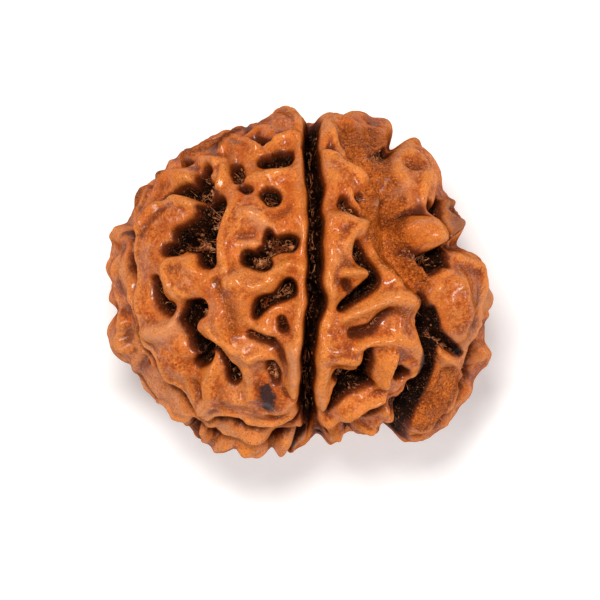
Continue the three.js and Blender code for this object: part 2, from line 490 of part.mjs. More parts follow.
// Calls visit(distance to the spine in mm, half width there) for each run of the stroke.
function walk(stroke, d, visit) {
  const { points } = stroke;
  if (points.length === 1) visit(d.distanceTo(points[0].dir) * SEED_R, points[0].half);
  for (let k = 0; k + 1 < points.length; k++) {
    const a = points[k].dir;
    const b = points[k + 1].dir;
    const ab = [b.x - a.x, b.y - a.y, b.z - a.z];
    const ad = [d.x - a.x, d.y - a.y, d.z - a.z];
    const along = ad[0] * ab[0] + ad[1] * ab[1] + ad[2] * ab[2];
    const t = clamp(along / (ab[0] ** 2 + ab[1] ** 2 + ab[2] ** 2), 0, 1);
    const gap = Math.hypot(ad[0] - t * ab[0], ad[1] - t * ab[1], ad[2] - t * ab[2]) * SEED_R;
    visit(gap, lerp(points[k].half, points[k + 1].half, t));
  }
}

function edgeDistance(stroke, d) {
  let nearest = Infinity;
  walk(stroke, d, (gap, half) => (nearest = Math.min(nearest, gap - half)));
  return nearest;
}

const bell = (x) => Math.exp(-x * x);

// One deep inside an edge, nothing far outside it, a half on it.
function wall(distance, { outer, inner }) {
  const width = distance > 0 ? outer : inner;
  return 1 / (1 + Math.exp(clamp(distance / width, -40, 40)));
}

// Park and Miller's draws: the same hidden pits each time.
function makeDraws(seed) {
  let state = seed;
  return ([low, high]) => {
    state = (state * 16807) % 2147483647;
    return low + ((high - low) * state) / 2147483647;
  };
}

// Pits and warts on the side turned away from the view, by one rule for each facet. Every third
// place in a row holds a wart; the others hold a bent pit with a brow over it.
function hiddenFeatures() {
  const draw = makeDraws(HIDDEN_SEED);
  const pits = [];
  const warts = [];

  function place(lon, lat, isWart) {
    const centre = bodyDirection(lon, lat + draw([-4.5, 4.5]));
    const half = draw(HIDDEN_HALF);
    const depth = draw(HIDDEN_DEPTH);
    const bend = draw([-70, 70]);
    const length = draw(HIDDEN_LENGTH) / SEED_R;
    const lift = draw(HIDDEN_LIFT);
    if (centre.z > HIDDEN_TOP || centre.z < HIDDEN_BOTTOM) return;
    const onRim = centre.z > HIDDEN_RIM;
    if (onRim && isWart) return;
    const east = new THREE.Vector3().crossVectors(axis, centre).normalize();
    const north = new THREE.Vector3().crossVectors(centre, east);
    const heading = (degrees) =>
      new THREE.Vector3()
        .addScaledVector(east, Math.cos(degToRad(degrees)))
        .addScaledVector(north, Math.sin(degToRad(degrees)));
    const run = heading(bend);
    const turn = heading(bend + 55);
    const start = centre.clone().addScaledVector(run, -length / 2);
    const end = centre.clone().addScaledVector(run, length / 2);
    const toe = end.clone().addScaledVector(turn, 0.8 * length);
    const bent = [start, end, toe].map((p) => p.normalize());
    if (isWart) {
      const points = bent.map((dir) => ({ dir, half: half * 1.5 }));
      warts.push({ stroke: makeStroke(points), height: lift + 0.15 });
      return;
    }
    const scale = onRim ? RIM_PIT_SCALE : 1;
    const taper = [1, 0.9, 0.7];
    const points = bent.map((dir, m) => ({ dir, half: half * scale * taper[m] }));
    pits.push({ stroke: makeStroke(points), depth: depth * scale });
    if (onRim) return;
    const brow = centre.clone().addScaledVector(north, (half + 0.5) / SEED_R);
    const ends = [-0.05, 0.05].map((along) => brow.clone().addScaledVector(run, along).normalize());
    warts.push({ stroke: makeStroke(ends.map((dir) => ({ dir, half: 0.5 }))), height: lift });
  }

  GROOVE_LONGITUDES.forEach((lon, k) => {
    const last = k + 1 === GROOVE_LONGITUDES.length;
    const width = (last ? GROOVE_LONGITUDES[0] + 360 : GROOVE_LONGITUDES[k + 1]) - lon;
    for (let lat = -HIDDEN_LATITUDE; lat <= HIDDEN_LATITUDE; lat += HIDDEN_ROW) {
      const across = Math.max(1, Math.round((width * Math.cos(degToRad(lat))) / HIDDEN_SPACING));
      for (let n = 0; n < across; n++) {
        place(lon + (width * (n + 0.5 + draw([-0.2, 0.2]))) / across, lat, n % 3 === 2);
      }
    }
  });
  return { pits, warts };
}

const valley = (stroke, depth) => ({ stroke, depth, edge: VALLEY_WALL, inset: 0, lip: NO_LIP });
const step = (stroke, depth) => ({ stroke, depth, edge: CUT_WALL, inset: 0, lip: NO_LIP });

function pit(stroke, depth) {
  const inset = CUT_WALL.outer * Math.log(Math.max(depth / TRACED_DEPTH, 1));
  return { stroke, depth, edge: CUT_WALL, inset, lip: PIT_LIP };
}

function groove(points, depth) {
  return { stroke: makeStroke(points), depth, edge: CUT_WALL, inset: 0, lip: GROOVE_LIP };
}

const hidden = hiddenFeatures();
const cuts = [
  ...Object.values(VALLEYS).map(([depth, path]) => valley(tracedStroke(path), depth)),
  groove([...meridian(FRONT_LONGITUDE, 84, 84), ...traced(FRONT_GROOVE)], FRONT_GROOVE_DEPTH),
  groove([...meridian(LEFT_LONGITUDE, 84, 72), ...traced(LEFT_GROOVE)], LEFT_GROOVE_DEPTH),
  groove([...meridian(LOWER_LONGITUDE, 84, -48), ...traced(LOWER_GROOVE)], LEFT_GROOVE_DEPTH),
  groove([...meridian(RIGHT_LONGITUDE, 84, 60), ...traced(RIGHT_GROOVE)], RIGHT_GROOVE_DEPTH),
  groove([...meridian(LIMB_LONGITUDE, 84, 22), ...traced(LIMB_GROOVE)], LIMB_GROOVE_DEPTH),
  ...BACK_LONGITUDES.map((lon) => groove(meridian(lon, 82, -82), BACK_GROOVE_DEPTH)),
  ...Object.values(PITS).map(([depth, path]) => pit(tracedStroke(path), depth)),
  ...Object.values(STEPS).map(([depth, path]) => step(tracedStroke(path), depth)),
  ...hidden.pits.map(({ stroke, depth }) => pit(stroke, depth)),
];
const keeps = Object.values(KEEPS).map(tracedStroke);
const ridges = [
  ...Object.values(RIDGES).map(([height, path]) => ({ stroke: tracedStroke(path), height })),
  ...hidden.warts,
];

// Radius in millimetres in direction d, before the edges are rounded. Cuts that meet join smoothly,
// because their depths are added as fourth powers, and crests as third powers.
function carvedRadius(d) {
  const q = new THREE.Vector3(...wander.map((noise) => noise(d)));
  q.multiplyScalar(WANDER / SEED_R).add(d).normalize();
  let sunk = 0;
  for (const { stroke, depth, edge, inset, lip } of cuts) {
    if (isFar(stroke, q, stroke.widest + CUT_REACH)) continue;
    const distance = edgeDistance(stroke, q);
    sunk += (depth * wall(distance + inset, edge)) ** 4;
    sunk += (lip.drop * bell(Math.max(distance, 0) / lip.reach)) ** 4;
  }
  for (const stroke of keeps) {
    if (isFar(stroke, q, stroke.widest + KEEP_REACH)) continue;
    sunk *= (1 - wall(edgeDistance(stroke, q), CUT_WALL)) ** 4;
  }
  let raised = 0;
  for (const { stroke, height } of ridges) {
    if (isFar(stroke, q, stroke.widest * 2.5)) continue;
    let best = 0;
    walk(stroke, q, (gap, half) => (best = Math.max(best, bell(gap / half))));
    raised += (height * best) ** 3;
  }
  const cut = Math.min(sunk ** 0.25, DEEPEST_CUT);
  return envelope(d) - cut + Math.cbrt(raised) + SWELL * swell(d) + RIPPLE * ripple(d);
}

// Moves each value halfway to the mean of its neighbours' values.
function rounded(values, index) {
  const sums = new Float64Array(values.length);
  const counts = new Uint8Array(values.length);
  for (let k = 0; k < index.count; k += 3) {
    const [a, b, c] = [index.getX(k), index.getX(k + 1), index.getX(k + 2)];
    sums[a] += values[b] + values[c];
    sums[b] += values[c] + values[a];
    sums[c] += values[a] + values[b];
    counts[a] += 2;
    counts[b] += 2;
    counts[c] += 2;
  }
  return values.map((value, k) => lerp(value, sums[k] / counts[k], 0.5));
}

async function makeSeed() {
  const ball = new THREE.IcosahedronGeometry(1, MESH_DETAIL);
  ball.deleteAttribute("normal");
  ball.deleteAttribute("uv");
  const fine = mergeVertices(ball, 1e-5);
  const place = fine.getAttribute("position");
  const directions = Array.from({ length: place.count }, (_, k) =>
    new THREE.Vector3().fromBufferAttribute(place, k).normalize(),
  );
  let radii = Float64Array.from(directions, carvedRadius);
  for (let pass = 0; pass < ROUNDING_PASSES; pass++) radii = rounded(radii, fine.index);
  directions.forEach((d, k) => {
    const r = d.z * radii[k] < -REST_DROP ? -REST_DROP / d.z : radii[k];
    place.setXYZ(k, d.x * r, d.y * r, d.z * r + REST_DROP);
  });
  const geometry = await new SimplifyModifier().modify(fine, place.count - KEPT_VERTICES);
  geometry.computeVertexNormals();
  return geometry;
}

const seed = new THREE.Mesh(
  await makeSeed(),
  new THREE.MeshStandardMaterial({ color: 0xb5622a, roughness: 0.45, metalness: 0 }),
);
seed.name = "seed";

const group = new THREE.Group();
group.add(seed);
export default group;
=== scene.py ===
"""Looks of a rudraksha seed: the finely carved stone, with dried pulp left in its grooves and pits."""

import math

import bmesh
import bpy
import numpy as np
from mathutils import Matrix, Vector
from mathutils.bvhtree import BVHTree
from mathutils.kdtree import KDTree


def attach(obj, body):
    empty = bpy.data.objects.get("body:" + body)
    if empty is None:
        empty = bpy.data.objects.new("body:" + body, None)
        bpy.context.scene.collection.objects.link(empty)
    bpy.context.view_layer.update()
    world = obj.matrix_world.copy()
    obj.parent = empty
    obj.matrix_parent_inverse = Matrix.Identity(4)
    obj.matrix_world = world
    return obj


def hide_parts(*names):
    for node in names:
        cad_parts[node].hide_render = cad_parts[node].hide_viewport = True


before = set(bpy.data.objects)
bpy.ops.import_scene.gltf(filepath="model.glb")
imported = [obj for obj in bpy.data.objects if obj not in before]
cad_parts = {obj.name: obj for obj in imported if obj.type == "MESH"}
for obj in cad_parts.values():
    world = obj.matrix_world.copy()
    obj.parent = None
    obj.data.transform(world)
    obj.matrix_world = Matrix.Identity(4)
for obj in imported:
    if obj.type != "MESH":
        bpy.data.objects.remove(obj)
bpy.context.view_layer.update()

MM = 0.001

# The seed's sizes in millimetres and angles in degrees, as in the part's source. Lips are drop and reach,
# walls are outer and inner softness, and SWELL to GRAIN are height, length and seed of the noises.
EQUATOR_R = 11.95
POLE_R = 11.0
POLE_DIP = 1.1
POLE_DIP_SPREAD = 0.045
SEED_R = 11.5
REST_DROP = 11.3
DEEPEST_CUT = 3.4
GROOVE_HALF = 0.42
STEP_SHADE = 0.6  # how much painted shade, in the granular floor colour, darkens the foot of a lobe
GROOVE_LIP = (0.45, 0.75)
PIT_LIP = (0.55, 0.9)
NO_LIP = (0.0, 1.0)
CUT_WALL = (0.1, 0.08)
VALLEY_WALL = (0.3, 0.4)
SETTLED = 0.3
TRACED_DEPTH = 1.0
CUT_REACH = 1.8
KEEP_REACH = 1.5
SWELL = (0.13, 3.4, 1.3)
RIPPLE = (0.055, 1.6, 5.2)
LUMPS = (0.017, 0.8, 8.4)
GRAIN = (0.009, 0.4, 2.6)
WANDER = 0.05
WANDER_LENGTH = 2.2
TILT = math.radians(20)
ROLL = math.radians(4.5)
RIM_HALF_ANGLE = math.radians(17)
RIM_SLACK = 0.25
RIM_HOLD = 60.0
RIM_SWAY = ((3.5, 3, 1), (2.5, 8, 2))  # the crest's waves: degrees, waves in a turn and phase
GROOVE_STEP = 9
GROOVE_WOBBLE = 2.2
HIDDEN_SEED = 20773
HIDDEN_SPACING = 19
HIDDEN_LATITUDE = 62
HIDDEN_ROW = 14
HIDDEN_TOP = 0.12
HIDDEN_RIM = -0.16
HIDDEN_BOTTOM = -0.93
HIDDEN_HALF = (0.34, 0.66)
HIDDEN_DEPTH = (1.1, 2.3)
HIDDEN_LENGTH = (0, 1.6)
HIDDEN_LIFT = (0.2, 0.5)
RIM_PIT_SCALE = 0.6
HIDDEN_SHIFT = (-4.5, 4.5)
HIDDEN_BEND = (-70, 70)
HIDDEN_TURN = 55
PIT_TAPER = (1, 0.9, 0.7)
WART_SCALE = 1.5
WART_LIFT = 0.15
BROW_HALF = 0.5
BROW_RUN = 0.05

# Traced points are in view units, seen from straight above: 16 to a millimetre, x to the right,
# y down, with the seed's middle at VIEW_CENTRE. A third number is a half width in view units.
VIEW_SCALE = 16
VIEW_CENTRE = (300, 282)

RIM = [
    [304, 113.5], [300, 109], [293, 107.5], [285, 109.5], [275.5, 113.5], [269, 122.5], [261.5, 125.5],
    [244, 120.5], [232.5, 126.5], [219, 136.5], [200.5, 141], [189, 144.5], [176.5, 147.5], [174, 157],
    [167.5, 166.5], [156.5, 177.5], [139.5, 181.5], [134, 199], [134, 211.5], [127, 223], [111, 226.5],
    [107.5, 235.5], [111, 244], [109, 255], [106, 266], [108.5, 280], [104, 292.5], [101, 300.5], [110, 311],
    [105.5, 320], [104, 329.5], [108, 339.5], [111, 352], [119, 362.5], [138, 366.5], [145.5, 376.5],
    [151.5, 390], [155.5, 399.5], [162.5, 409], [176, 426.5], [183.5, 438.5], [191.5, 448.5], [211, 442],
    [221, 456.5], [230, 454], [240, 456], [253.5, 456.5], [263, 454], [271, 447.5], [281, 465.5],
    [288.5, 463], [297, 447.5], [306, 442.5], [315.5, 428], [321.5, 431.5], [332.5, 447.5], [339, 441.5],
    [349, 430], [357.5, 438], [368.5, 436.5], [382.5, 438], [381.5, 421], [389, 427.5], [405.5, 448.5],
    [415, 445.5], [429, 439.5], [439, 434.5], [452.5, 425.5], [458.5, 415.5], [463, 407.5], [470.5, 398],
    [476, 381], [482.5, 372], [490.5, 362], [495, 355.5], [493.5, 350.5], [487, 342.5], [482.5, 322.5],
    [490.5, 315], [493, 303], [493, 293], [493, 281], [485, 271], [480, 263], [475, 254], [471, 251],
    [454.5, 246], [457.5, 237], [461.5, 228.5], [455.5, 220], [449, 210.5], [449.5, 199.5], [444.5, 191.5],
    [443.5, 178], [441.5, 168.5], [436.5, 156.5], [431.5, 145.5], [422.5, 138.5], [413, 135.5], [407, 137],
    [401, 141.5], [396, 144.5], [392, 142.5], [395.5, 133.5], [397, 125], [392, 120], [380.5, 117.5],
    [366.5, 112.5], [350, 111], [335, 114], [324.5, 116.5], [317.5, 118.5], [313.5, 119.5],
]

# The grooves from end to end: [longitude, the latitudes that its part out of view runs between, depth in mm,
# how much old pulp and painted shade darken it, points of the part in view].
GROOVE_TABLE = dict(
    front=[4.5, 84, 84, 3.1, 1, [315, 117, 5], [312, 126, 5], [311, 138, 5], [313, 162, 5.5], [316, 202, 5],
        [316, 229, 6], [315, 256, 5.2], [314, 282, 5.2], [316, 297, 6.5], [316, 310, 7.5], [312, 324, 6],
        [309, 350, 5.3], [308, 377, 5.5], [307, 391, 6.5], [307, 404, 7.5], [308, 418, 7], [314, 432, 5],
        [317, 445, 5]],
    left=[301, 84, 72, 2.2, 0.72, [246, 126, 5], [231, 131, 5], [218, 139, 6], [199, 149, 5],
        [184, 157, 5.5], [169, 163, 4], [157, 174, 3], [150, 183, 3], [143, 194, 4], [137, 207, 4],
        [132, 218, 5], [128, 232, 7], [126, 250, 8], [126, 264, 7], [130, 280, 6], [131, 298, 6],
        [135, 314, 6], [136, 325, 6], [133, 336, 6], [135, 346, 6], [143, 354, 6], [151, 358, 6],
        [155, 365, 6], [159, 373, 7], [161, 382, 7], [169, 388, 7], [179, 394, 7], [184, 403, 7],
        [191, 412, 6], [199, 419, 5], [206, 423, 4.5], [215, 423, 4], [221, 420, 5], [228, 419, 6],
        [233, 423, 5], [240, 429, 4.5], [252, 432, 4], [262, 432, 4], [270, 430, 4], [280, 429, 4],
        [288, 427, 4], [294, 422, 5], [306, 419, 5]],
    lower=[250, 84, -48, 2.2, 0.6, [193, 427, 3], [206, 434, 3], [222, 440, 3.5], [238, 441, 3.5],
        [255, 445, 3], [270, 443, 3.5], [285, 438, 4], [300, 435, 4], [312, 429, 4]],
    right=[42, 84, 60, 2.8, 1, [443, 191, 4], [446, 207, 5], [449, 226, 4], [448, 243, 5], [438, 261, 9],
        [434, 275, -1], [430, 289, -2], [428, 302, 4], [430, 316, 10.5], [432, 330, 12.5], [432, 345, 10],
        [432, 360, 8], [430, 372, 10], [425, 384, 12], [418, 396, 13], [413, 408, 11], [409, 420, 8],
        [405, 431, 6], [399, 441, 4]],
    limb=[85, 84, 22, 1.7, 0.5, [484, 262, 3], [489, 285, 3], [488, 305, 3], [485, 322, 3], [481, 338, 3],
        [478, 355, 4], [474, 372, 3], [471, 388, 3], [467, 402, 3], [456, 419, 3], [438, 433, 3],
        [418, 442, 2]],
    back=[150, 82, -82, 2.4, 0.8],
    back_left=[205, 82, -82, 2.4, 0.8],
)

# Soft hollows: [depth in mm, points].
VALLEYS = dict(
    right_hollow=[2.2, [356, 158, 3], [372, 168, 8], [388, 180, 12], [395, 198, 14], [394, 216, 14],
        [394, 236, 14], [402, 256, 13], [413, 273, 10], [424, 288, 8]],
    hollow_left=[1.5, [374, 186, 5], [382, 205, 9], [383, 222, 9], [380, 238, 8], [386, 252, 9]],
    fan_gap=[1.5, [388, 153, 3], [393, 144, 4], [396, 136, 4.5], [400, 127, 5]],
    far_gap=[1.8, [452, 245, 3], [460, 242, 5], [468, 240, 4]],
    basin_mid=[0.7, [216, 281, 5], [226, 297, 8], [232, 318, 10], [236, 336, 7]],
    basin_low=[0.6, [186, 378, 4], [195, 388, 5]],
    basin_foot=[0.5, [232, 402, 6], [250, 413, 8], [274, 418, 6], [294, 414, 5]],
    basin_right=[0.7, [403, 315, 6], [411, 330, 7]],
    basin_shelf=[0.4, [386, 352, 6], [404, 360, 6]],
    basin_lip=[0.45, [330, 320, 5], [334, 330, 6]],
    fan=[1.4, [350, 119, 7], [352, 129, 13], [357, 142, 14], [365, 156, 14]],
    lip_step=[0.7, [330, 200, 8], [347, 204, 10], [362, 200, 8]],
    lower_face=[0.9, [447, 371, 8], [441, 385, 10], [431, 398, 10], [420, 411, 9]],
    left_foot=[0.3, [127, 240, 6], [124, 270, 5], [125, 300, 5], [128, 330, 5], [131, 348, 6]],
    low_foot=[0.5, [150, 366, 7], [160, 385, 7], [176, 401, 7], [190, 417, 5]],
    low_foot_b=[0.7, [224, 423, 5], [234, 429, 4], [252, 435, 3]],
    low_foot_c=[0.45, [199, 433, 4], [212, 440, 4], [228, 443, 5], [246, 445, 3]],
    dome_back=[0.6, [186, 157, 4], [166, 166, 4], [152, 180, 4], [146, 196, 4], [140, 210, 4]],
    spur_base=[1.2, [366, 187, 3.5], [368, 199, 6], [366, 211, 5]],
    fan_side=[1.4, [377, 124, 8], [377, 134, 13], [378, 147, 15], [379, 162, 15]],
    lower_rim=[0.45, [466, 386, 6], [456, 400, 7], [444, 413, 7], [430, 424, 6]],
)

# Deep pits with old pulp in them: [depth in mm, points].
PITS = dict(
    kidney=[2.2, [282, 153, 11], [276, 159, 8], [264, 156, 7]],
    under_arch=[1.3, [254, 134, 5], [261, 137, 7], [268, 139, 5]],
    oval=[1.8, [233, 161, 5.5], [235, 168, 7], [237, 175, 6]],
    bean=[1.4, [239, 185, 4], [246, 188, 5.5]],
    round=[2.2, [264, 191, 4.5], [270, 195, 9]],
    faint=[0.5, [280, 211, 3.5]],
    cave_top=[2.2, [198, 206, 4], [206, 204, 8], [214, 200, 8]],
    cave_right=[2.9, [214, 206, 9], [209, 222, 10], [204, 240, 11], [206, 258, 9]],
    cave_mid=[2.5, [176, 231, 7], [188, 225, 9], [199, 216, 9], [208, 207, 8]],
    cave_left=[2.9, [172, 234, 7], [184, 239, 10], [196, 242, 11]],
    cave_corner=[2.6, [162, 248, 6], [175, 247, 9]],
    cave_trough=[2.2, [160, 199, 4], [170, 195, 8], [182, 190, 9], [196, 188, 8], [206, 190, 7]],
    horn_hole=[2.1, [207, 168, 5], [200, 174, 8], [200, 183, 9], [210, 190, 7]],
    side_slot=[1.9, [152, 282, 6], [153, 294, 8.5], [158, 304, 8.5], [163, 312, 5]],
    side_slot_toe=[1.3, [160, 304, 4], [168, 307, 4.5]],
    hook=[2.6, [198, 308, 9], [188, 311, 10], [184, 322, 9], [186, 334, 8], [194, 346, 11], [201, 356, 10],
        [193, 368, 5]],
    hook_tail=[2.1, [203, 347, 6], [214, 349, 5], [221, 355, 3.5], [226, 366, 4], [232, 377, 8.5],
        [232, 385, 5]],
    star_left=[2.1, [246, 257, 9.5], [256, 260, 9], [265, 264, 7]],
    star_right=[2.1, [262, 251, 8], [275, 246, 7], [290, 241, 9]],
    star_top=[1.8, [270, 244, 6], [267, 235, 6]],
    sling=[2.2, [288, 289, 9.5], [277, 298, 5], [268, 302, 6], [259, 307, 7], [254, 315, 4]],
    slit=[1.4, [281, 321, 4], [284, 330, 5]],
    brow=[1.4, [250, 337, 4.5], [261, 341, 4.5], [273, 344, 5]],
    brow_tail=[0.9, [276, 346, 3.5], [282, 354, 4], [285, 363, 3.5]],
    drop=[1.1, [271, 364, 5], [273, 375, 7.5], [274, 385, 5]],
    stain=[0.3, [264, 391, 6], [268, 400, 8], [268, 406, 5]],
    lip_hole=[0.9, [331, 141, 4]],
    lip_pit=[1.6, [345, 197, 4.5], [346, 205, 6], [356, 210, 5]],
    lip_pit_side=[1.4, [357, 197, 3.5], [364, 191, 4]],
    fan_notch=[1.7, [376, 147, 4], [384, 145, 7], [392, 144, 6]],
    behind_knob=[2.0, [436, 202, 5], [441, 208, 7.5], [446, 215, 5]],
    inner_pit=[1.9, [359, 244, 4], [359, 253, 6], [364, 262, 5]],
    tick=[2.5, [368, 263, 4], [375, 270, 5], [379, 279, 7], [369, 288, 6.5], [356, 298, 6], [344, 308, 4.5]],
    tick_side=[1.1, [346, 281, 4.5], [350, 289, 4]],
    brush=[1.1, [354, 334, 5.5], [364, 332, 6], [374, 328, 5.5], [384, 318, 5], [390, 312, 4]],
    den_top=[2.0, [370, 352, 4.5], [370, 364, 6], [368, 377, 7]],
    den_left=[2.7, [341, 380, 6], [350, 384, 9], [366, 383, 9]],
    den_low=[2.7, [327, 415, 3], [334, 404, 5.5], [343, 395, 9], [356, 391, 8], [372, 388, 6]],
    groove_corner=[2.9, [425, 314, 7], [433, 326, 8.5], [436, 340, 6]],
    cheek_pit=[1.8, [401, 370, 6], [404, 376, 8]],
    groove_notch=[2.1, [438, 331, 5], [447, 343, 4.5], [459, 355, 4]],
    low_hollow=[0.9, [291, 438, 5], [283, 443, 4]],
    chin_corner=[1.2, [398, 404, 4], [396, 416, 3]],
    chin_crease=[1.7, [336, 430, 3], [356, 424, 4], [372, 417, 4], [386, 407, 4]],
    knob_gap=[1.2, [349, 431, 2], [350, 436, 2]],
    knob_gap_b=[0.9, [382, 424, 2], [384, 430, 2]],
    band_gap=[0.5, [119, 243, 3], [124, 238, 3], [130, 235, 3]],
    band_gap_b=[0.5, [117, 292, 3], [121, 300, 3]],
    band_gap_c=[0.6, [122, 314, 3], [125, 322, 3], [126, 334, 2.5]],
    band_gap_d=[0.4, [138, 360, 3]],
    third_gap=[0.4, [236, 442, 2.5]],
    third_gap_b=[0.5, [275, 442, 3]],
    under_knob=[2.4, [428, 258, 5.5], [440, 258, 8], [450, 260, 6.5]],
    lobe_dent=[0.15, [417, 162, 5]],
    lobe_dent_low=[0.6, [420, 200, 3], [425, 204, 3]],
    knob_foot=[1.0, [410, 248, 4], [423, 254, 5]],
    knob_top=[0.9, [405, 215, 3], [416, 209, 4], [428, 207, 4]],
    band_eye=[0.8, [120, 231, 4]],
)

# Clean cuts with sharp edges, at the feet of lobes: [depth in mm, points].
STEPS = dict(
    lobe_cliff=[0.6, [347, 150, 3], [358, 158, 4], [368, 168, 4], [372, 178, 3.5]],
    lip_cliff=[0.7, [334, 120, 2], [340, 130, 3], [345, 141, 3]],
    lobe_end=[0.9, [375, 225, 4], [368, 238, 4], [362, 243, 4]],
    bar_end=[0.9, [424, 292, 3], [425, 303, 3]],
    shelf_end=[0.8, [412, 316, 4], [418, 328, 4]],
    star_step=[0.6, [240, 236, 3], [252, 233, 3]],
    tongue_step=[0.9, [281, 345, 2.5], [285, 356, 3], [285, 372, 3], [283, 386, 3], [288, 397, 3],
        [296, 401, 2.5]],
    knuckle_step=[0.7, [412, 384, 3], [402, 393, 3]],
)

# What stands in or over a cut: [points].
KEEPS = dict(
    peninsula=[[223, 166, 3], [218, 180, 3], [209, 193, 2]],
    fin=[[350, 190, 1.5], [354, 198, 2], [361, 206, 1.5]],
    inner_tongue=[[344, 273, 5], [357, 273, 4.5], [366, 274, 4]],
    lip_tongue=[[325, 345, 5], [325, 365, 9], [323, 385, 8], [322, 400, 6.5], [322, 410, 4.5]],
    den_tongue=[[389, 350, 7], [387, 366, 8], [383, 384, 6.5]],
    den_sill=[[328, 422, 5], [342, 418, 7], [358, 410, 8], [372, 404, 7], [382, 401, 5]],
    groove_tongue=[[458, 367, 5], [449, 363, 6.5], [442, 360, 4]],
    knob=[[408, 229, 6], [417, 229, 11], [427, 230, 15], [434, 232, 16]],
    left_tongue=[[292, 345, 6], [293, 362, 6.5], [293, 380, 6.5], [293, 393, 4.5]],
)

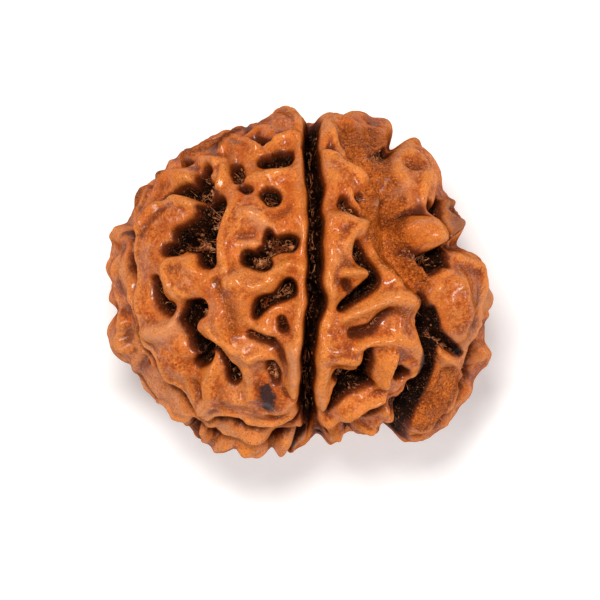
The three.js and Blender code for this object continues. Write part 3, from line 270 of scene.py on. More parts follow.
# Rounded crests: [height in mm, points].
RIDGES = dict(
    arch=[0.55, [223, 151, 4], [228, 142, 4.5], [236, 138, 4.5], [246, 139, 4.5], [255, 145, 4]],
    arch_behind=[0.35, [246, 132, 4], [255, 128, 4], [264, 127, 4], [272, 131, 4]],
    arch_right=[0.45, [268, 143, 4], [276, 138, 5], [288, 136, 5], [297, 137, 5]],
    peak=[0.35, [286, 108, 4], [295, 112, 5], [301, 122, 4]],
    horn=[0.6, [201, 161, 5], [208, 161, 6], [216, 162, 5]],
    horn_wall=[0.3, [222, 160, 4], [221, 172, 3]],
    dome=[0.8, [167, 181, 9], [176, 177, 11], [186, 177, 9]],
    strip=[0.35, [134, 212, 3], [139, 195, 3], [147, 183, 3], [160, 171, 3], [172, 163, 3]],
    cave_arch=[0.7, [142, 229, 5], [151, 216, 5], [160, 205, 6], [171, 199, 7], [182, 199, 7],
        [194, 204, 6]],
    cave_sill=[0.45, [165, 262, 5], [176, 259, 5], [188, 263, 5], [198, 272, 5]],
    cave_step=[0.3, [176, 262, 5]],
    sill_leg=[0.35, [163, 268, 5], [167, 278, 4], [170, 288, 4]],
    crest=[0.35, [139, 234, 5], [137, 250, 4], [134, 268, 4], [137, 283, 4], [138, 299, 4], [142, 314, 4],
        [141, 326, 4], [140, 338, 5], [146, 348, 5], [157, 355, 4], [163, 362, 4], [167, 374, 4],
        [172, 381, 4], [184, 388, 4], [190, 399, 4], [198, 409, 4], [206, 417, 5], [215, 416, 4],
        [226, 411, 4], [234, 415, 4], [243, 423, 4], [253, 426, 4], [266, 424, 4], [280, 422, 4],
        [293, 419, 4]],
    shine=[0.35, [244, 214, 6], [258, 221, 6], [272, 231, 5], [282, 239, 4]],
    star_brow=[0.3, [238, 245, 5], [250, 241, 5], [260, 243, 4]],
    slot_rim=[0.35, [166, 276, 4], [168, 288, 5], [174, 299, 5]],
    hook_brow=[0.35, [176, 291, 6], [182, 298, 5]],
    left_lobe=[0.5, [143, 334, 6], [156, 333, 8], [168, 328, 7], [175, 319, 5]],
    mid_ridge=[0.45, [212, 364, 5], [211, 378, 7], [208, 394, 8], [205, 409, 8]],
    mid_left=[0.35, [184, 376, 5], [190, 388, 6], [196, 399, 5]],
    second=[0.4, [134, 356, 4], [138, 373, 4], [147, 388, 4], [157, 400, 4], [168, 408, 4], [178, 418, 4],
        [188, 425, 3], [199, 427, 3], [211, 431, 3], [222, 435, 3], [234, 438, 3], [253, 439, 3],
        [271, 440, 3], [286, 436, 3], [300, 429, 3]],
    third_a=[0.3, [203, 438, 4], [213, 444, 4], [223, 449, 5]],
    third_b=[0.35, [245, 452, 5], [256, 454, 6], [265, 450, 4]],
    third_c=[0.3, [280, 451, 5], [292, 448, 4], [304, 440, 4]],
    left_tongue=[0.4, [297, 330, 5], [297, 346, 6], [296, 362, 6], [294, 378, 6], [293, 392, 5]],
    drop_brow=[0.3, [250, 358, 5], [262, 354, 5], [274, 361, 5], [281, 373, 4], [284, 387, 4]],
    low_lump=[0.3, [236, 402, 8], [247, 412, 8]],
    low_lump_b=[0.25, [262, 416, 7], [277, 412, 7]],
    band=[0.35, [126, 244, 4], [123, 258, 5], [123, 272, 4], [125, 288, 4], [124, 302, 3]],
    band_top=[0.4, [121, 229, 6], [116, 237, 5]],
    band_mid=[0.3, [113, 262, 5], [113, 275, 4]],
    band_low=[0.45, [118, 326, 5], [117, 340, 7], [124, 352, 5]],
    cave_edge=[0.3, [229, 205, 3], [221, 222, 4], [218, 238, 4], [221, 256, 4], [226, 268, 4]],
    over_round=[0.3, [244, 176, 4], [258, 177, 5], [274, 176, 5], [288, 172, 4]],
    groove_edge=[0.2, [299, 150, 4], [301, 200, 4], [302, 250, 4], [301, 300, 4], [296, 325, 4]],
    under_star=[0.3, [266, 275, 5], [278, 270, 6], [291, 262, 5]],
    over_sling=[0.3, [256, 290, 5], [270, 283, 5]],
    plate_lump=[0.3, [228, 284, 6], [240, 276, 6]],
    cave_corner=[0.3, [214, 272, 5], [205, 282, 5], [197, 291, 4]],
    hook_edge=[0.3, [206, 330, 4], [213, 337, 4], [224, 343, 4], [232, 352, 4]],
    brow_ridge=[0.3, [256, 326, 5], [268, 333, 5]],
    low_ridge=[0.3, [246, 372, 5], [249, 386, 5], [252, 398, 4]],
    lip=[0.45, [322, 119, 4], [330, 126, 4], [338, 136, 4], [345, 150, 4]],
    upper_lobe=[0.5, [328, 151, 6], [340, 158, 7], [352, 168, 7], [362, 176, 6]],
    spur=[0.8, [382, 190, 3], [381, 201, 4.5], [377, 213, 5.5]],
    lip_lobe=[0.5, [334, 220, 6], [348, 219, 7], [364, 221, 5], [356, 233, 6], [347, 247, 7]],
    lip_low=[0.25, [329, 242, 8], [329, 262, 8], [330, 285, 8], [334, 305, 6]],
    inner_tongue=[0.3, [346, 273, 5], [357, 273, 5], [366, 274, 4]],
    slope=[0.5, [372, 253, 5], [384, 258, 5], [395, 267, 6], [402, 278, 6]],
    bar=[0.6, [347, 318, 5], [365, 311, 7], [380, 303, 8], [395, 298, 9], [412, 299, 8]],
    shelf=[0.4, [356, 347, 4], [376, 341, 6], [394, 338, 7], [408, 341, 7], [418, 352, 6], [423, 361, 6]],
    stub=[0.45, [342, 362, 7], [355, 363, 7]],
    den_tongue=[0.3, [392, 356, 5], [388, 368, 5], [384, 384, 4]],
    knuckle=[0.35, [421, 362, 6], [414, 376, 6]],
    den_sill=[0.45, [328, 421, 5], [342, 414, 6], [358, 406, 7], [372, 401, 6], [384, 399, 4]],
    chin_a=[0.5, [333, 440, 5], [340, 437, 5]],
    chin_b=[0.45, [358, 430, 5], [372, 430, 5]],
    chin_c=[0.3, [389, 414, 5]],
    top_lobe=[0.6, [406, 152, 9], [415, 158, 12], [423, 168, 13], [426, 181, 12], [424, 195, 9]],
    knob=[0.75, [406, 228, 7], [416, 229, 12], [427, 230, 15]],
    far_lobe=[0.45, [449, 200, 4], [456, 212, 5], [459, 226, 6], [454, 238, 4]],
    bulge=[0.5, [458, 284, 13], [463, 300, 14], [464, 318, 13], [462, 334, 10]],
    right_crest=[0.4, [462, 258, 6], [474, 267, 6], [481, 290, 6], [480, 312, 6], [475, 338, 6]],
    right_inner=[0.2, [447, 272, 6], [459, 272, 6], [466, 283, 6]],
    lower_crest=[0.3, [454, 385, 4], [446, 395, 4], [434, 406, 4], [421, 418, 4], [409, 434, 4]],
    side_knob=[0.45, [484, 352, 5], [483, 362, 5]],
    groove_tongue=[0.4, [450, 361, 5], [443, 359, 4]],
)

AXIS = np.array([-math.sin(ROLL) * math.cos(TILT), math.cos(ROLL) * math.cos(TILT), -math.sin(TILT)])
FRONT = np.array([0, 0, 1]) - AXIS[2] * AXIS
FRONT /= np.linalg.norm(FRONT)
SIDE = np.cross(AXIS, FRONT)


def unit(v):
    return v / np.linalg.norm(v, axis=-1, keepdims=True)


def towards(angle, a, b):
    """The direction at this angle from a on the way to b, which is square to a."""
    return math.cos(angle) * a + math.sin(angle) * b


def compass(d):
    """East and north at a direction, about the seed's own axis."""
    east = unit(np.cross(AXIS, d))
    return east, np.cross(d, east)


def noise(d, length_mm, seed, count=14):
    """Smooth noise of about unit size: plane waves in evenly spread directions, added up."""
    k = np.arange(count)
    z = 1 - (2 * k + 1) / count
    ring = np.sqrt(1 - z * z)
    turn = 2.399963 * k + seed
    ways = np.stack([ring * np.cos(turn), ring * np.sin(turn), z], axis=1)
    waves = d @ ways.T * (2 * math.pi * SEED_R / length_mm) + 4.1 * seed + 1.7 * k * k
    return np.sin(waves).sum(axis=1) * math.sqrt(2 / count)


def view_to_mm(points):
    p = np.array(points, float)
    return (p[:, 0] - VIEW_CENTRE[0]) / VIEW_SCALE, (VIEW_CENTRE[1] - p[:, 1]) / VIEW_SCALE


def rim_table():
    """Angle, radius and slope of the traced rim's points, closed on itself."""
    x, y = view_to_mm(RIM)
    order = np.argsort(np.arctan2(y, x))
    angle = np.arctan2(y, x)[order]
    radius = np.hypot(x, y)[order]
    angle = np.concatenate([angle[-2:] - 2 * math.pi, angle, angle[:2] + 2 * math.pi])
    radius = np.concatenate([radius[-2:], radius, radius[:2]])
    rise = np.diff(radius) / np.diff(angle)
    before, after = rise[:-1], rise[1:]
    slope = np.zeros_like(radius)
    same = before * after > 0
    slope[1:-1][same] = 2 * before[same] * after[same] / (before[same] + after[same])
    return angle, radius, slope


RIM_ANGLE, RIM_RADIUS, RIM_SLOPE = rim_table()


def rim_radius(angle):
    k = np.clip(np.searchsorted(RIM_ANGLE, angle, side="right") - 1, 1, len(RIM_ANGLE) - 3)
    h = RIM_ANGLE[k + 1] - RIM_ANGLE[k]
    t = (angle - RIM_ANGLE[k]) / h
    return ((2 * t**3 - 3 * t**2 + 1) * RIM_RADIUS[k] + (t**3 - 2 * t**2 + t) * h * RIM_SLOPE[k]
            + (3 * t**2 - 2 * t**3) * RIM_RADIUS[k + 1] + (t**3 - t**2) * h * RIM_SLOPE[k + 1])


def envelope(d):
    """Radius of the uncut seed: a flattened ball with dipped ends and the traced rim."""
    s = d @ AXIS
    ball = 1 / np.sqrt((1 - s * s) / EQUATOR_R**2 + s * s / POLE_R**2)
    r = ball - POLE_DIP * np.exp(-(1 - np.abs(s)) / POLE_DIP_SPREAD)
    angle = np.arctan2(d[:, 1], d[:, 0])
    height = np.arcsin(np.clip(d[:, 2], -1, 1))
    sway = np.radians(sum(size * np.sin(waves * angle + phase) for size, waves, phase in RIM_SWAY))
    near = np.exp(-(((height - sway) / RIM_HALF_ANGLE) ** 2))
    rim = rim_radius(angle)
    r = r + near * (rim / np.cos(sway) - r)
    upright = (rim + RIM_SLACK) / np.maximum(np.cos(height), 0.1)
    return (r**-RIM_HOLD + upright**-RIM_HOLD) ** (-1 / RIM_HOLD)


def on_surface(points):
    """Directions of the points that are seen at the traced points, a little under the envelope."""
    x, y = view_to_mm(points)
    r = np.full(len(x), SEED_R)
    for _ in range(8):
        d = unit(np.stack([x, y, np.sqrt(np.maximum(r * r - x * x - y * y, 0.04))], axis=1))
        r = (r + envelope(d) - SETTLED * d[:, 2]) / 2
    return d


def softened(path):
    """The path with a point halfway along each run, on a smooth curve through its points."""
    p = np.array(path, float)
    if len(p) == 1:
        return p
    padded = np.concatenate([p[:1], p, p[-1:]])
    halfway = (9 * (padded[1:-2] + padded[2:-1]) - padded[:-3] - padded[3:]) / 16
    out = np.empty((2 * len(p) - 1, p.shape[1]))
    out[::2] = p
    out[1::2] = halfway
    return out


def traced(path):
    p = softened(path)
    return on_surface(p[:, :2]), p[:, 2] / VIEW_SCALE


def body_direction(lon, lat):
    """Direction at a longitude and latitude in degrees about the seed's own axis."""
    lon, lat = np.radians(lon), np.radians(lat)
    return (np.outer(np.cos(lat) * np.sin(lon), SIDE) + np.outer(np.cos(lat) * np.cos(lon), FRONT)
            + np.outer(np.sin(lat), AXIS))


def meridian(lon, low, high):
    """A groove's part out of view, which wanders a little about its longitude."""
    lat = np.linspace(low, high, 1 + int(abs(high - low) / GROOVE_STEP + 0.5))
    wobble = GROOVE_WOBBLE * np.sin(lat * 0.11 + lon) / np.maximum(np.cos(np.radians(lat)), 0.3)
    return body_direction(lon + wobble, lat), np.full(len(lat), GROOVE_HALF)


def groove(lon, low, high, depth, pulp_and_shade, *path):
    """Directions, half widths, depth and darkening by old pulp and painted shade of a groove: its part out of
    view, then the part in view.
    """
    strokes = [meridian(lon, low, high)] + ([traced(path)] if path else [])
    dirs, halfs = (np.concatenate(part) for part in zip(*strokes))
    return dirs, halfs, depth, pulp_and_shade


class Draws:
    """Park and Miller's draws: the same hidden pits each time."""

    def __init__(self, seed):
        self.state = seed

    def __call__(self, low, high):
        self.state = self.state * 16807 % 2147483647
        return low + (high - low) * self.state / 2147483647


def hidden_features():
    """Pits and warts of the side turned away from the view, by one rule for each facet."""
    draw = Draws(HIDDEN_SEED)
    pits, warts = [], []

    def place(lon, lat, is_wart):
        centre = body_direction(lon, lat + draw(*HIDDEN_SHIFT))[0]
        half = draw(*HIDDEN_HALF)
        depth = draw(*HIDDEN_DEPTH)
        bend = math.radians(draw(*HIDDEN_BEND))
        length = draw(*HIDDEN_LENGTH) / SEED_R
        lift = draw(*HIDDEN_LIFT)
        if not HIDDEN_BOTTOM <= centre[2] <= HIDDEN_TOP:
            return
        on_rim = centre[2] > HIDDEN_RIM
        if on_rim and is_wart:
            return
        east, north = compass(centre)
        run = towards(bend, east, north)
        turn = towards(bend + math.radians(HIDDEN_TURN), east, north)
        start, end = centre - run * length / 2, centre + run * length / 2
        bent = unit(np.stack([start, end, end + 0.8 * length * turn]))
        if is_wart:
            warts.append((bent, np.full(3, half * WART_SCALE), lift + WART_LIFT))
            return
        scale = RIM_PIT_SCALE if on_rim else 1
        pits.append((bent, half * scale * np.array(PIT_TAPER), depth * scale))
        if on_rim:
            return
        brow = centre + north * (half + BROW_HALF) / SEED_R
        ends = unit(np.stack([brow - BROW_RUN * run, brow + BROW_RUN * run]))
        warts.append((ends, np.full(2, BROW_HALF), lift))

    longitudes = sorted(row[0] for row in GROOVE_TABLE.values())
    for lon, following in zip(longitudes, [*longitudes[1:], longitudes[0] + 360]):
        width = following - lon
        for lat in range(-HIDDEN_LATITUDE, HIDDEN_LATITUDE + 1, HIDDEN_ROW):
            across = max(1, int(width * math.cos(math.radians(lat)) / HIDDEN_SPACING + 0.5))
            for n in range(across):
                place(lon + width * (n + 0.5 + draw(-0.2, 0.2)) / across, lat, n % 3 == 2)
    return pits, warts


def runs(dirs, halfs, d, scale=SEED_R):
    """Distance to the spine and half width there, for each run of a stroke: in mm for directions."""
    if len(dirs) == 1:
        yield np.linalg.norm(d - dirs[0], axis=1) * scale, halfs[0]
    for a, b, wa, wb in zip(dirs[:-1], dirs[1:], halfs[:-1], halfs[1:]):
        ab = b - a
        t = np.clip((d - a) @ ab / (ab @ ab), 0, 1)
        yield np.linalg.norm(d - a - t[:, None] * ab, axis=1) * scale, wa + t * (wb - wa)


def edge_distance(dirs, halfs, d, scale=SEED_R):
    nearest = np.full(len(d), np.inf)
    for gap, half in runs(dirs, halfs, d, scale):
        nearest = np.minimum(nearest, gap - half)
    return nearest


def near(dirs, d, reach_mm):
    """Indices of the directions that a stroke can be felt at."""
    mid = unit(dirs.mean(axis=0))
    reach = np.linalg.norm(dirs - mid, axis=1).max() + reach_mm / SEED_R
    return np.nonzero(((d - mid) ** 2).sum(axis=1) < reach * reach)[0]


def bell(x):
    return np.exp(-x * x)


def wall(distance, outer, inner):
    """One deep inside an edge, nothing far outside it, a half on it."""
    return 1 / (1 + np.exp(np.clip(distance / np.where(distance > 0, outer, inner), -40, 40)))


PIT_STROKES = [(*traced(path), depth) for depth, *path in PITS.values()]
HIDDEN_PITS, HIDDEN_WARTS = hidden_features()
GROOVES = [groove(*row) for row in GROOVE_TABLE.values()]


def carve(d):
    """Radius in mm in each direction, with the depth in dark cuts and in valleys."""
    shift = np.stack([noise(d, WANDER_LENGTH, seed) for seed in (3.1, 4.1, 5.1)], axis=1)
    q = unit(d + shift * WANDER / SEED_R)
    sunk = np.zeros(len(d))
    dark = np.zeros(len(d))
    valley = np.zeros(len(d))
    raised = np.zeros(len(d))

    def sink(dirs, halfs, depth, edge, inset, lip, depths, share=1):
        at = near(dirs, q, halfs.max() + CUT_REACH)
        distance = edge_distance(dirs, halfs, q[at])
        cut = (depth * wall(distance + inset, *edge)) ** 4
        sunk[at] += cut + (lip[0] * bell(np.maximum(distance, 0) / lip[1])) ** 4
        depths[at] += cut * share**4

    for depth, *path in VALLEYS.values():
        sink(*traced(path), depth, VALLEY_WALL, 0, NO_LIP, valley)
    for dirs, halfs, depth, pulp_and_shade in GROOVES:
        sink(dirs, halfs, depth, CUT_WALL, 0, GROOVE_LIP, dark, pulp_and_shade)
    for dirs, halfs, depth in PIT_STROKES + HIDDEN_PITS:
        inset = CUT_WALL[0] * math.log(max(depth / TRACED_DEPTH, 1))
        sink(dirs, halfs, depth, CUT_WALL, inset, PIT_LIP, dark)
    # The feet of lobes take painted shade in the granular floor colour.
    for depth, *path in STEPS.values():
        sink(*traced(path), depth, CUT_WALL, 0, NO_LIP, valley, STEP_SHADE)
    for path in KEEPS.values():
        dirs, halfs = traced(path)
        at = near(dirs, q, halfs.max() + KEEP_REACH)
        left = (1 - wall(edge_distance(dirs, halfs, q[at]), *CUT_WALL)) ** 4
        for depths in (sunk, dark, valley):
            depths[at] *= left
    ridges = [(*traced(path), height) for height, *path in RIDGES.values()]
    for dirs, halfs, height in ridges + HIDDEN_WARTS:
        at = near(dirs, q, halfs.max() * 2.5)
        best = np.zeros(len(at))
        for gap, half in runs(dirs, halfs, q[at]):
            best = np.maximum(best, bell(gap / half))
        raised[at] += (height * best) ** 3
    r = envelope(d) - np.minimum(sunk**0.25, DEEPEST_CUT) + np.cbrt(raised)
    return r, dark**0.25, valley**0.25


def rounded(values, edges, passes):
    """Moves each value halfway to the mean of its neighbours' values, this many times."""
    counts = np.bincount(edges.ravel(), minlength=len(values))
    for _ in range(passes):
        sums = np.bincount(edges[:, 0], values[edges[:, 1]], len(values))
        sums += np.bincount(edges[:, 1], values[edges[:, 0]], len(values))
        values = (values + sums / counts) / 2
    return values


def read(data, attribute, width, kind):
    out = np.empty(len(data) * width, kind)
    data.foreach_get(attribute, out)
    return out.reshape(-1, width)


def placed(name, data):
    piece = bpy.data.objects.new(name, data)
    bpy.context.scene.collection.objects.link(piece)
    return piece


def make_object(name, mesh, material):
    mesh.materials.append(material)
    return placed(name, mesh)


# The stone: a fine ball shaped by the carving, thinned out where it is smooth.
BALL_SUBDIVISIONS = 8
ROUNDING_PASSES = 4
RELIEF_PASSES = 40
STONE_TRIANGLES = 196000

# Pale places, traced like the pits: partly bleached tone, partly painted highlights on waxy crests.
PALE_AND_HIGHLIGHT_SPOTS = (
    [[170, 318, 4], [176, 328, 5], [166, 336, 4]],
    [[292, 348, 3], [294, 362, 3], [293, 378, 3]],
    [[254, 220, 3], [262, 227, 3]],
    [[243, 242, 3], [256, 240, 2]],
    [[379, 201, 3]],
    [[404, 187, 3], [411, 181, 3]],
)
PALE_EDGE = (0.15, 0.15)

# Colour laid on as it is seen from straight above, drawn like the pits: old pulp and painted shade blacken
# the right groove's walls, a wall beside it loses that darkening, painted shade lies along the seams at the
# top left, and granular brown faces carry painted shade on the outer band at the top left.
BLACK_PULP_AND_SHADE = (
    [[430, 310, 4], [431, 322, 7], [431, 334, 7], [430, 346, 5], [428, 360, 5], [425, 372, 5],
     [419, 386, 5], [411, 400, 6], [406, 412, 5]],
    [[437, 335, 5], [447, 343, 4], [458, 352, 3]],
)
BLACK_PULP_AND_SHADE_DEPTH = 2.4  # how dark it is, as if it lay this deep, in mm
UNDARKENED_SHARE = 0.85
UNDARKENED_WALL = ([[439, 357, 4], [436, 374, 6], [430, 390, 7], [424, 406, 7], [418, 421, 5]],)
# Painted shade along the seam hidden under the crest at the top left.
SEAM_SHADE = (
    [[141, 212, 1.5], [145, 200, 1.5], [150, 186, 1.5], [156, 177, 1.5], [165, 168, 1.5], [173, 163, 2],
     [186, 161, 2], [192, 155, 2], [198, 151, 2], [208, 150, 2], [216, 147, 4], [222, 139, 2.5],
     [233, 132, 2], [245, 128, 2], [256, 121, 1.5], [270, 121, 1.5]],
)
SEAM_SHADE_DEPTH = 0.75
# Granular brown faces; the first path is painted shade on the outer band at the top left.
BROWN = (
    [[133, 206, 4], [140, 186, 6], [150, 174, 6], [168, 160, 5], [190, 149, 5], [215, 139, 6], [240, 125, 4]],
    [[449, 374, 10], [443, 388, 15], [433, 404, 16], [422, 420, 12]],
    [[392, 262, 6], [406, 272, 8], [416, 286, 6], [422, 302, 4]],
    [[420, 262, 5], [424, 280, 6]],
)
SOFT = 1.6
TINT_SOFT = 5.0

# Other tints, drawn the same way: painted shade on the far lobe, a blue-black stain, and with wide soft edges
# rich orange, pale tan that is partly painted sheen and rim light, and a place without gloss. [Softness,
# paths].
TINTS = dict(
    far_lobe_shade=[SOFT, [[451, 205, 8], [457, 216, 9], [459, 230, 8], [455, 240, 5]]],
    stain=[SOFT, [[266, 389, 6], [268, 398, 8], [269, 406, 5]]],
    rich=[
        TINT_SOFT,
        [[140, 215, 8], [155, 180, 14], [185, 152, 12], [230, 140, 12], [268, 128, 10]],
        [[292, 130, 6], [294, 170, 8], [296, 260, 8]],
        [[200, 275, 10], [208, 295, 12], [222, 318, 8]],
        [[330, 190, 6], [334, 225, 10], [322, 262, 8]],
        [[352, 124, 12], [378, 128, 8]],
        [[386, 222, 12], [408, 232, 16], [430, 232, 10]],
        [[440, 300, 8], [444, 325, 8]],
    ],
    tan=[
        TINT_SOFT,
        [[112, 340, 8], [150, 340, 16], [166, 326, 8]],
        [[150, 380, 10], [190, 420, 14], [250, 430, 14], [290, 440, 10]],
        [[236, 395, 10], [238, 352, 9], [254, 343, 8], [270, 340, 6]],
        [[256, 218, 6], [264, 226, 5]],
        [[378, 204, 5]],
        [[346, 252, 6], [340, 262, 5]],
        [[392, 300, 7], [408, 306, 6]],
        [[486, 290, 10], [488, 320, 10], [480, 352, 10], [462, 350, 6]],
    ],
    matte=[TINT_SOFT, [[230, 338, 8], [244, 346, 8]]],
)


def make_ball(subdivisions):
    ball = bmesh.new()
    bmesh.ops.create_icosphere(ball, subdivisions=subdivisions, radius=1)
    mesh = bpy.data.meshes.new("ball")
    ball.to_mesh(mesh)
    ball.free()
    return mesh


def place_points(mesh, d, r):
    """Moves the ball's points out to the surface, flat where it rests, in metres."""
    low = d[:, 2] * r < -REST_DROP
    r = np.where(low, -REST_DROP / np.minimum(d[:, 2], -0.1), r)
    points = (d * r[:, None] + (0, 0, REST_DROP)) * MM
    mesh.vertices.foreach_set("co", points.astype(np.float32).ravel())
    mesh.update()


def thinned(mesh, triangles):
    holder = placed("holder", mesh)
    modifier = holder.modifiers.new("thin", "DECIMATE")
    modifier.ratio = min(1, triangles / len(mesh.polygons))
    out = bpy.data.meshes.new_from_object(holder.evaluated_get(bpy.context.evaluated_depsgraph_get()))
    bpy.data.objects.remove(holder)
    return out


def seen_from_above(d, r):
    """Where points are seen, in view units; the lower half is moved out of the picture."""
    x, y = VIEW_SCALE * d[:, 0] * r, VIEW_SCALE * d[:, 1] * r
    seen = np.stack([VIEW_CENTRE[0] + x, VIEW_CENTRE[1] - y], axis=1)
    seen[d[:, 2] < 0] = -VIEW_SCALE * SEED_R
    return seen


def painted(paths, seen, soft=SOFT):
    """How far each seen point is covered by the paths: one within, nothing outside."""
    cover = np.zeros(len(seen))
    for path in paths:
        p = softened(path)
        cover = np.maximum(cover, wall(edge_distance(p[:, :2], p[:, 2], seen, 1), soft, soft))
    return cover


def make_stone(material):
    mesh = make_ball(BALL_SUBDIVISIONS)
    d = unit(read(mesh.vertices, "co", 3, np.float32).astype(float))
    edges = read(mesh.edges, "vertices", 2, np.int32)
    r, dark, valley = carve(d)
    dark = rounded(dark, edges, ROUNDING_PASSES)
    valley = rounded(valley, edges, ROUNDING_PASSES)
    r = rounded(r, edges, ROUNDING_PASSES)
    relief = r - rounded(r, edges, RELIEF_PASSES)
    hollow = rounded(envelope(d) - r, edges, ROUNDING_PASSES)
    # Pale spots: partly bleached tone, partly painted highlights.
    pale = np.zeros(len(d))
    for path in PALE_AND_HIGHLIGHT_SPOTS:
        pale = np.maximum(pale, wall(edge_distance(*traced(path), d), *PALE_EDGE))
    for height, length, seed in (SWELL, RIPPLE, LUMPS, GRAIN):
        r += height * noise(d, length, seed)
    seen = seen_from_above(d, r)
    # One wall of the right groove loses its darkening; its other walls are blackened by old pulp and painted
    # shade.
    dark *= 1 - UNDARKENED_SHARE * painted(UNDARKENED_WALL, seen)
    dark = np.maximum(dark, BLACK_PULP_AND_SHADE_DEPTH * painted(BLACK_PULP_AND_SHADE, seen))
    # Painted shade along the seams.
    dark = np.maximum(dark, SEAM_SHADE_DEPTH * painted(SEAM_SHADE, seen))
    # Granular brown faces, with painted shade on the outer band at the top left.
    valley = np.maximum(valley, painted(BROWN, seen))
    looks = dict(dark=dark, valley=valley, relief=relief, hollow=hollow, pale=pale)
    for name, (soft, *paths) in TINTS.items():
        looks[name] = painted(paths, seen, soft)
    place_points(mesh, d, r)
    mesh = thinned(mesh, STONE_TRIANGLES)
    tree = KDTree(len(d))
    for k, direction in enumerate(d):
        tree.insert(direction, k)
    tree.balance()
    here = unit(read(mesh.vertices, "co", 3, np.float32) / MM - (0, 0, REST_DROP))
    nearest = np.array([tree.find(direction)[1] for direction in here])
    for name, values in looks.items():
        column = mesh.attributes.new(name, "FLOAT", "POINT").data
        column.foreach_set("value", values[nearest].astype(np.float32))
    mesh.polygons.foreach_set("use_smooth", np.ones(len(mesh.polygons), bool))
    mesh.name = "stone"
    return make_object("seed_stone", mesh, material)


# Dried pulp: fibres and crumbs that cling in the pits and grooves. Sizes in mm.
PULP_SEED = 11
FIBRES_PER_MM2 = 30
CLUMPS_PER_MM2 = 3
CLUMP_CRUMBS = (3, 15)
CLUMP_SPREAD = 0.13
GROOVE_STRANDS_PER_MM = 6
FIBRE_STEPS = 8
FIBRE_RADIUS = (0.013, 0.034)
FIBRE_LENGTH = (0.3, 1.2)
STRAND_LENGTH = (0.3, 1.3)
CRUMB_RADIUS = (0.02, 0.11)
CRUMB_STRETCH = (0.5, 1.2)
CRUMB_ROUGHNESS = (0.7, 1.2)
CRUMB_LIFT = 0.3  # how far it stands out, as a share of its radius
CLEARANCE = 0.01
RAY_START = 0.02  # from the seed's middle, in metres
FIBRE_LIFT = 0.08
HOLLOW_DEPTH = 0.95
FIBRE_SPREAD = 0.9
FIBRE_WANDER = 0.5
STRAND_SPREAD = 1.0
STRAND_WANDER = 0.2
STRAND_TURN = 0.25
FIBRE_CLIMB = 0.18
FIBRE_BOW = 0.12
FIBRE_END = 0.35  # how thick its ends are, as a share of its middle


class Surface:
    """The stone's finished surface, asked for its radius in mm in a direction."""

    def __init__(self, piece):
        mesh = piece.data
        points = read(mesh.vertices, "co", 3, np.float32)
        faces = read(mesh.polygons, "vertices", 3, np.int32)
        self.tree = BVHTree.FromPolygons(points.tolist(), faces.tolist())
        self.middle = Vector((0, 0, REST_DROP * MM))

    def radius(self, direction):
        out = Vector(direction)
        hit = self.tree.ray_cast(self.middle + out * RAY_START, -out)[0]
        return (hit - self.middle).length / MM

    def hollow(self, direction, radius):
        """How far a point lies under the uncut seed, in mm."""
        return envelope(direction[None])[0] - radius


def run_lengths(dirs):
    return np.linalg.norm(np.diff(dirs, axis=0), axis=1)


def spot_on(stroke, rng, spread):
    """A random direction within a stroke, and the stroke's heading there."""
    dirs, halfs = stroke[:2]
    if len(dirs) == 1:
        east, north = compass(dirs[0])
        angle = rng.uniform(0, 2 * math.pi)
        away = math.sqrt(rng.uniform()) * halfs[0] * spread / SEED_R
        return unit(dirs[0] + away * towards(angle, east, north)), east
    lengths = run_lengths(dirs)
    k = rng.choice(len(lengths), p=lengths / lengths.sum())
    t = rng.uniform()
    centre = dirs[k] + t * (dirs[k + 1] - dirs[k])
    half = halfs[k] + t * (halfs[k + 1] - halfs[k])
    heading = unit(dirs[k + 1] - dirs[k])
    across = np.cross(unit(centre), heading)
    return unit(centre + across * rng.uniform(-spread, spread) * half / SEED_R), heading


def area_of(stroke):
    dirs, halfs = stroke[:2]
    length = run_lengths(dirs).sum() * SEED_R
    return 2 * halfs.mean() * length + math.pi * halfs.mean() ** 2


def fibre_path(surface, start, heading, length, wander, rng):
    """Points in mm of a fibre that lies in a hollow, bridging what is deeper on its way."""
    step = length / FIBRE_STEPS / SEED_R
    curl = rng.normal(0, wander)
    d, way = start, heading
    dirs = [d]
    radii = [surface.radius(d)]
    for _ in range(FIBRE_STEPS):
        way = towards(curl + rng.normal(0, wander), way, np.cross(d, way))
        d = unit(d + way * step)
        way = unit(way - (way @ d) * d)
        radius = surface.radius(d)
        too_steep = abs(radius - radii[-1]) > FIBRE_CLIMB
        if too_steep or surface.hollow(d, radius) < HOLLOW_DEPTH:
            break
        dirs.append(d)
        radii.append(radius)
    dirs, radii = np.array(dirs), np.array(radii)
    t = np.linspace(0, 1, len(dirs))
    bow = rng.uniform(0, FIBRE_BOW) * np.sin(math.pi * t)
    bridge = radii[0] + (radii[-1] - radii[0]) * t + bow
    lowest = np.minimum(radii + CLEARANCE + FIBRE_LIFT, bridge)
    return dirs * np.maximum(radii + CLEARANCE, lowest)[:, None]


def add_tube(points, radius, verts, faces):
    """A three-sided tube through the points, thinner at its ends."""
    base = len(verts)
    tangents = unit(np.gradient(points, axis=0))
    side = unit(np.cross(tangents, unit(points)))
    up = np.cross(side, tangents)
    count = len(points)
    for k in range(count):
        width = radius * (FIBRE_END + (1 - FIBRE_END) * math.sin(math.pi * (k + 0.5) / count))
        for corner in range(3):
            verts.append(points[k] + width * towards(2 * math.pi * corner / 3, side[k], up[k]))
    for k in range(count - 1):
        for corner in range(3):
            a = base + 3 * k + corner
            b = base + 3 * k + (corner + 1) % 3
            faces.append((a, b, b + 3, a + 3))
    faces.append((base + 2, base + 1, base))
    last = base + 3 * (count - 1)
    faces.append((last, last + 1, last + 2))


def to_mesh(name, verts, faces):
    mesh = bpy.data.meshes.new(name)
    points = (np.array(verts) + (0, 0, REST_DROP)) * MM
    mesh.from_pydata(points.tolist(), [], faces)
    mesh.update()
    return mesh


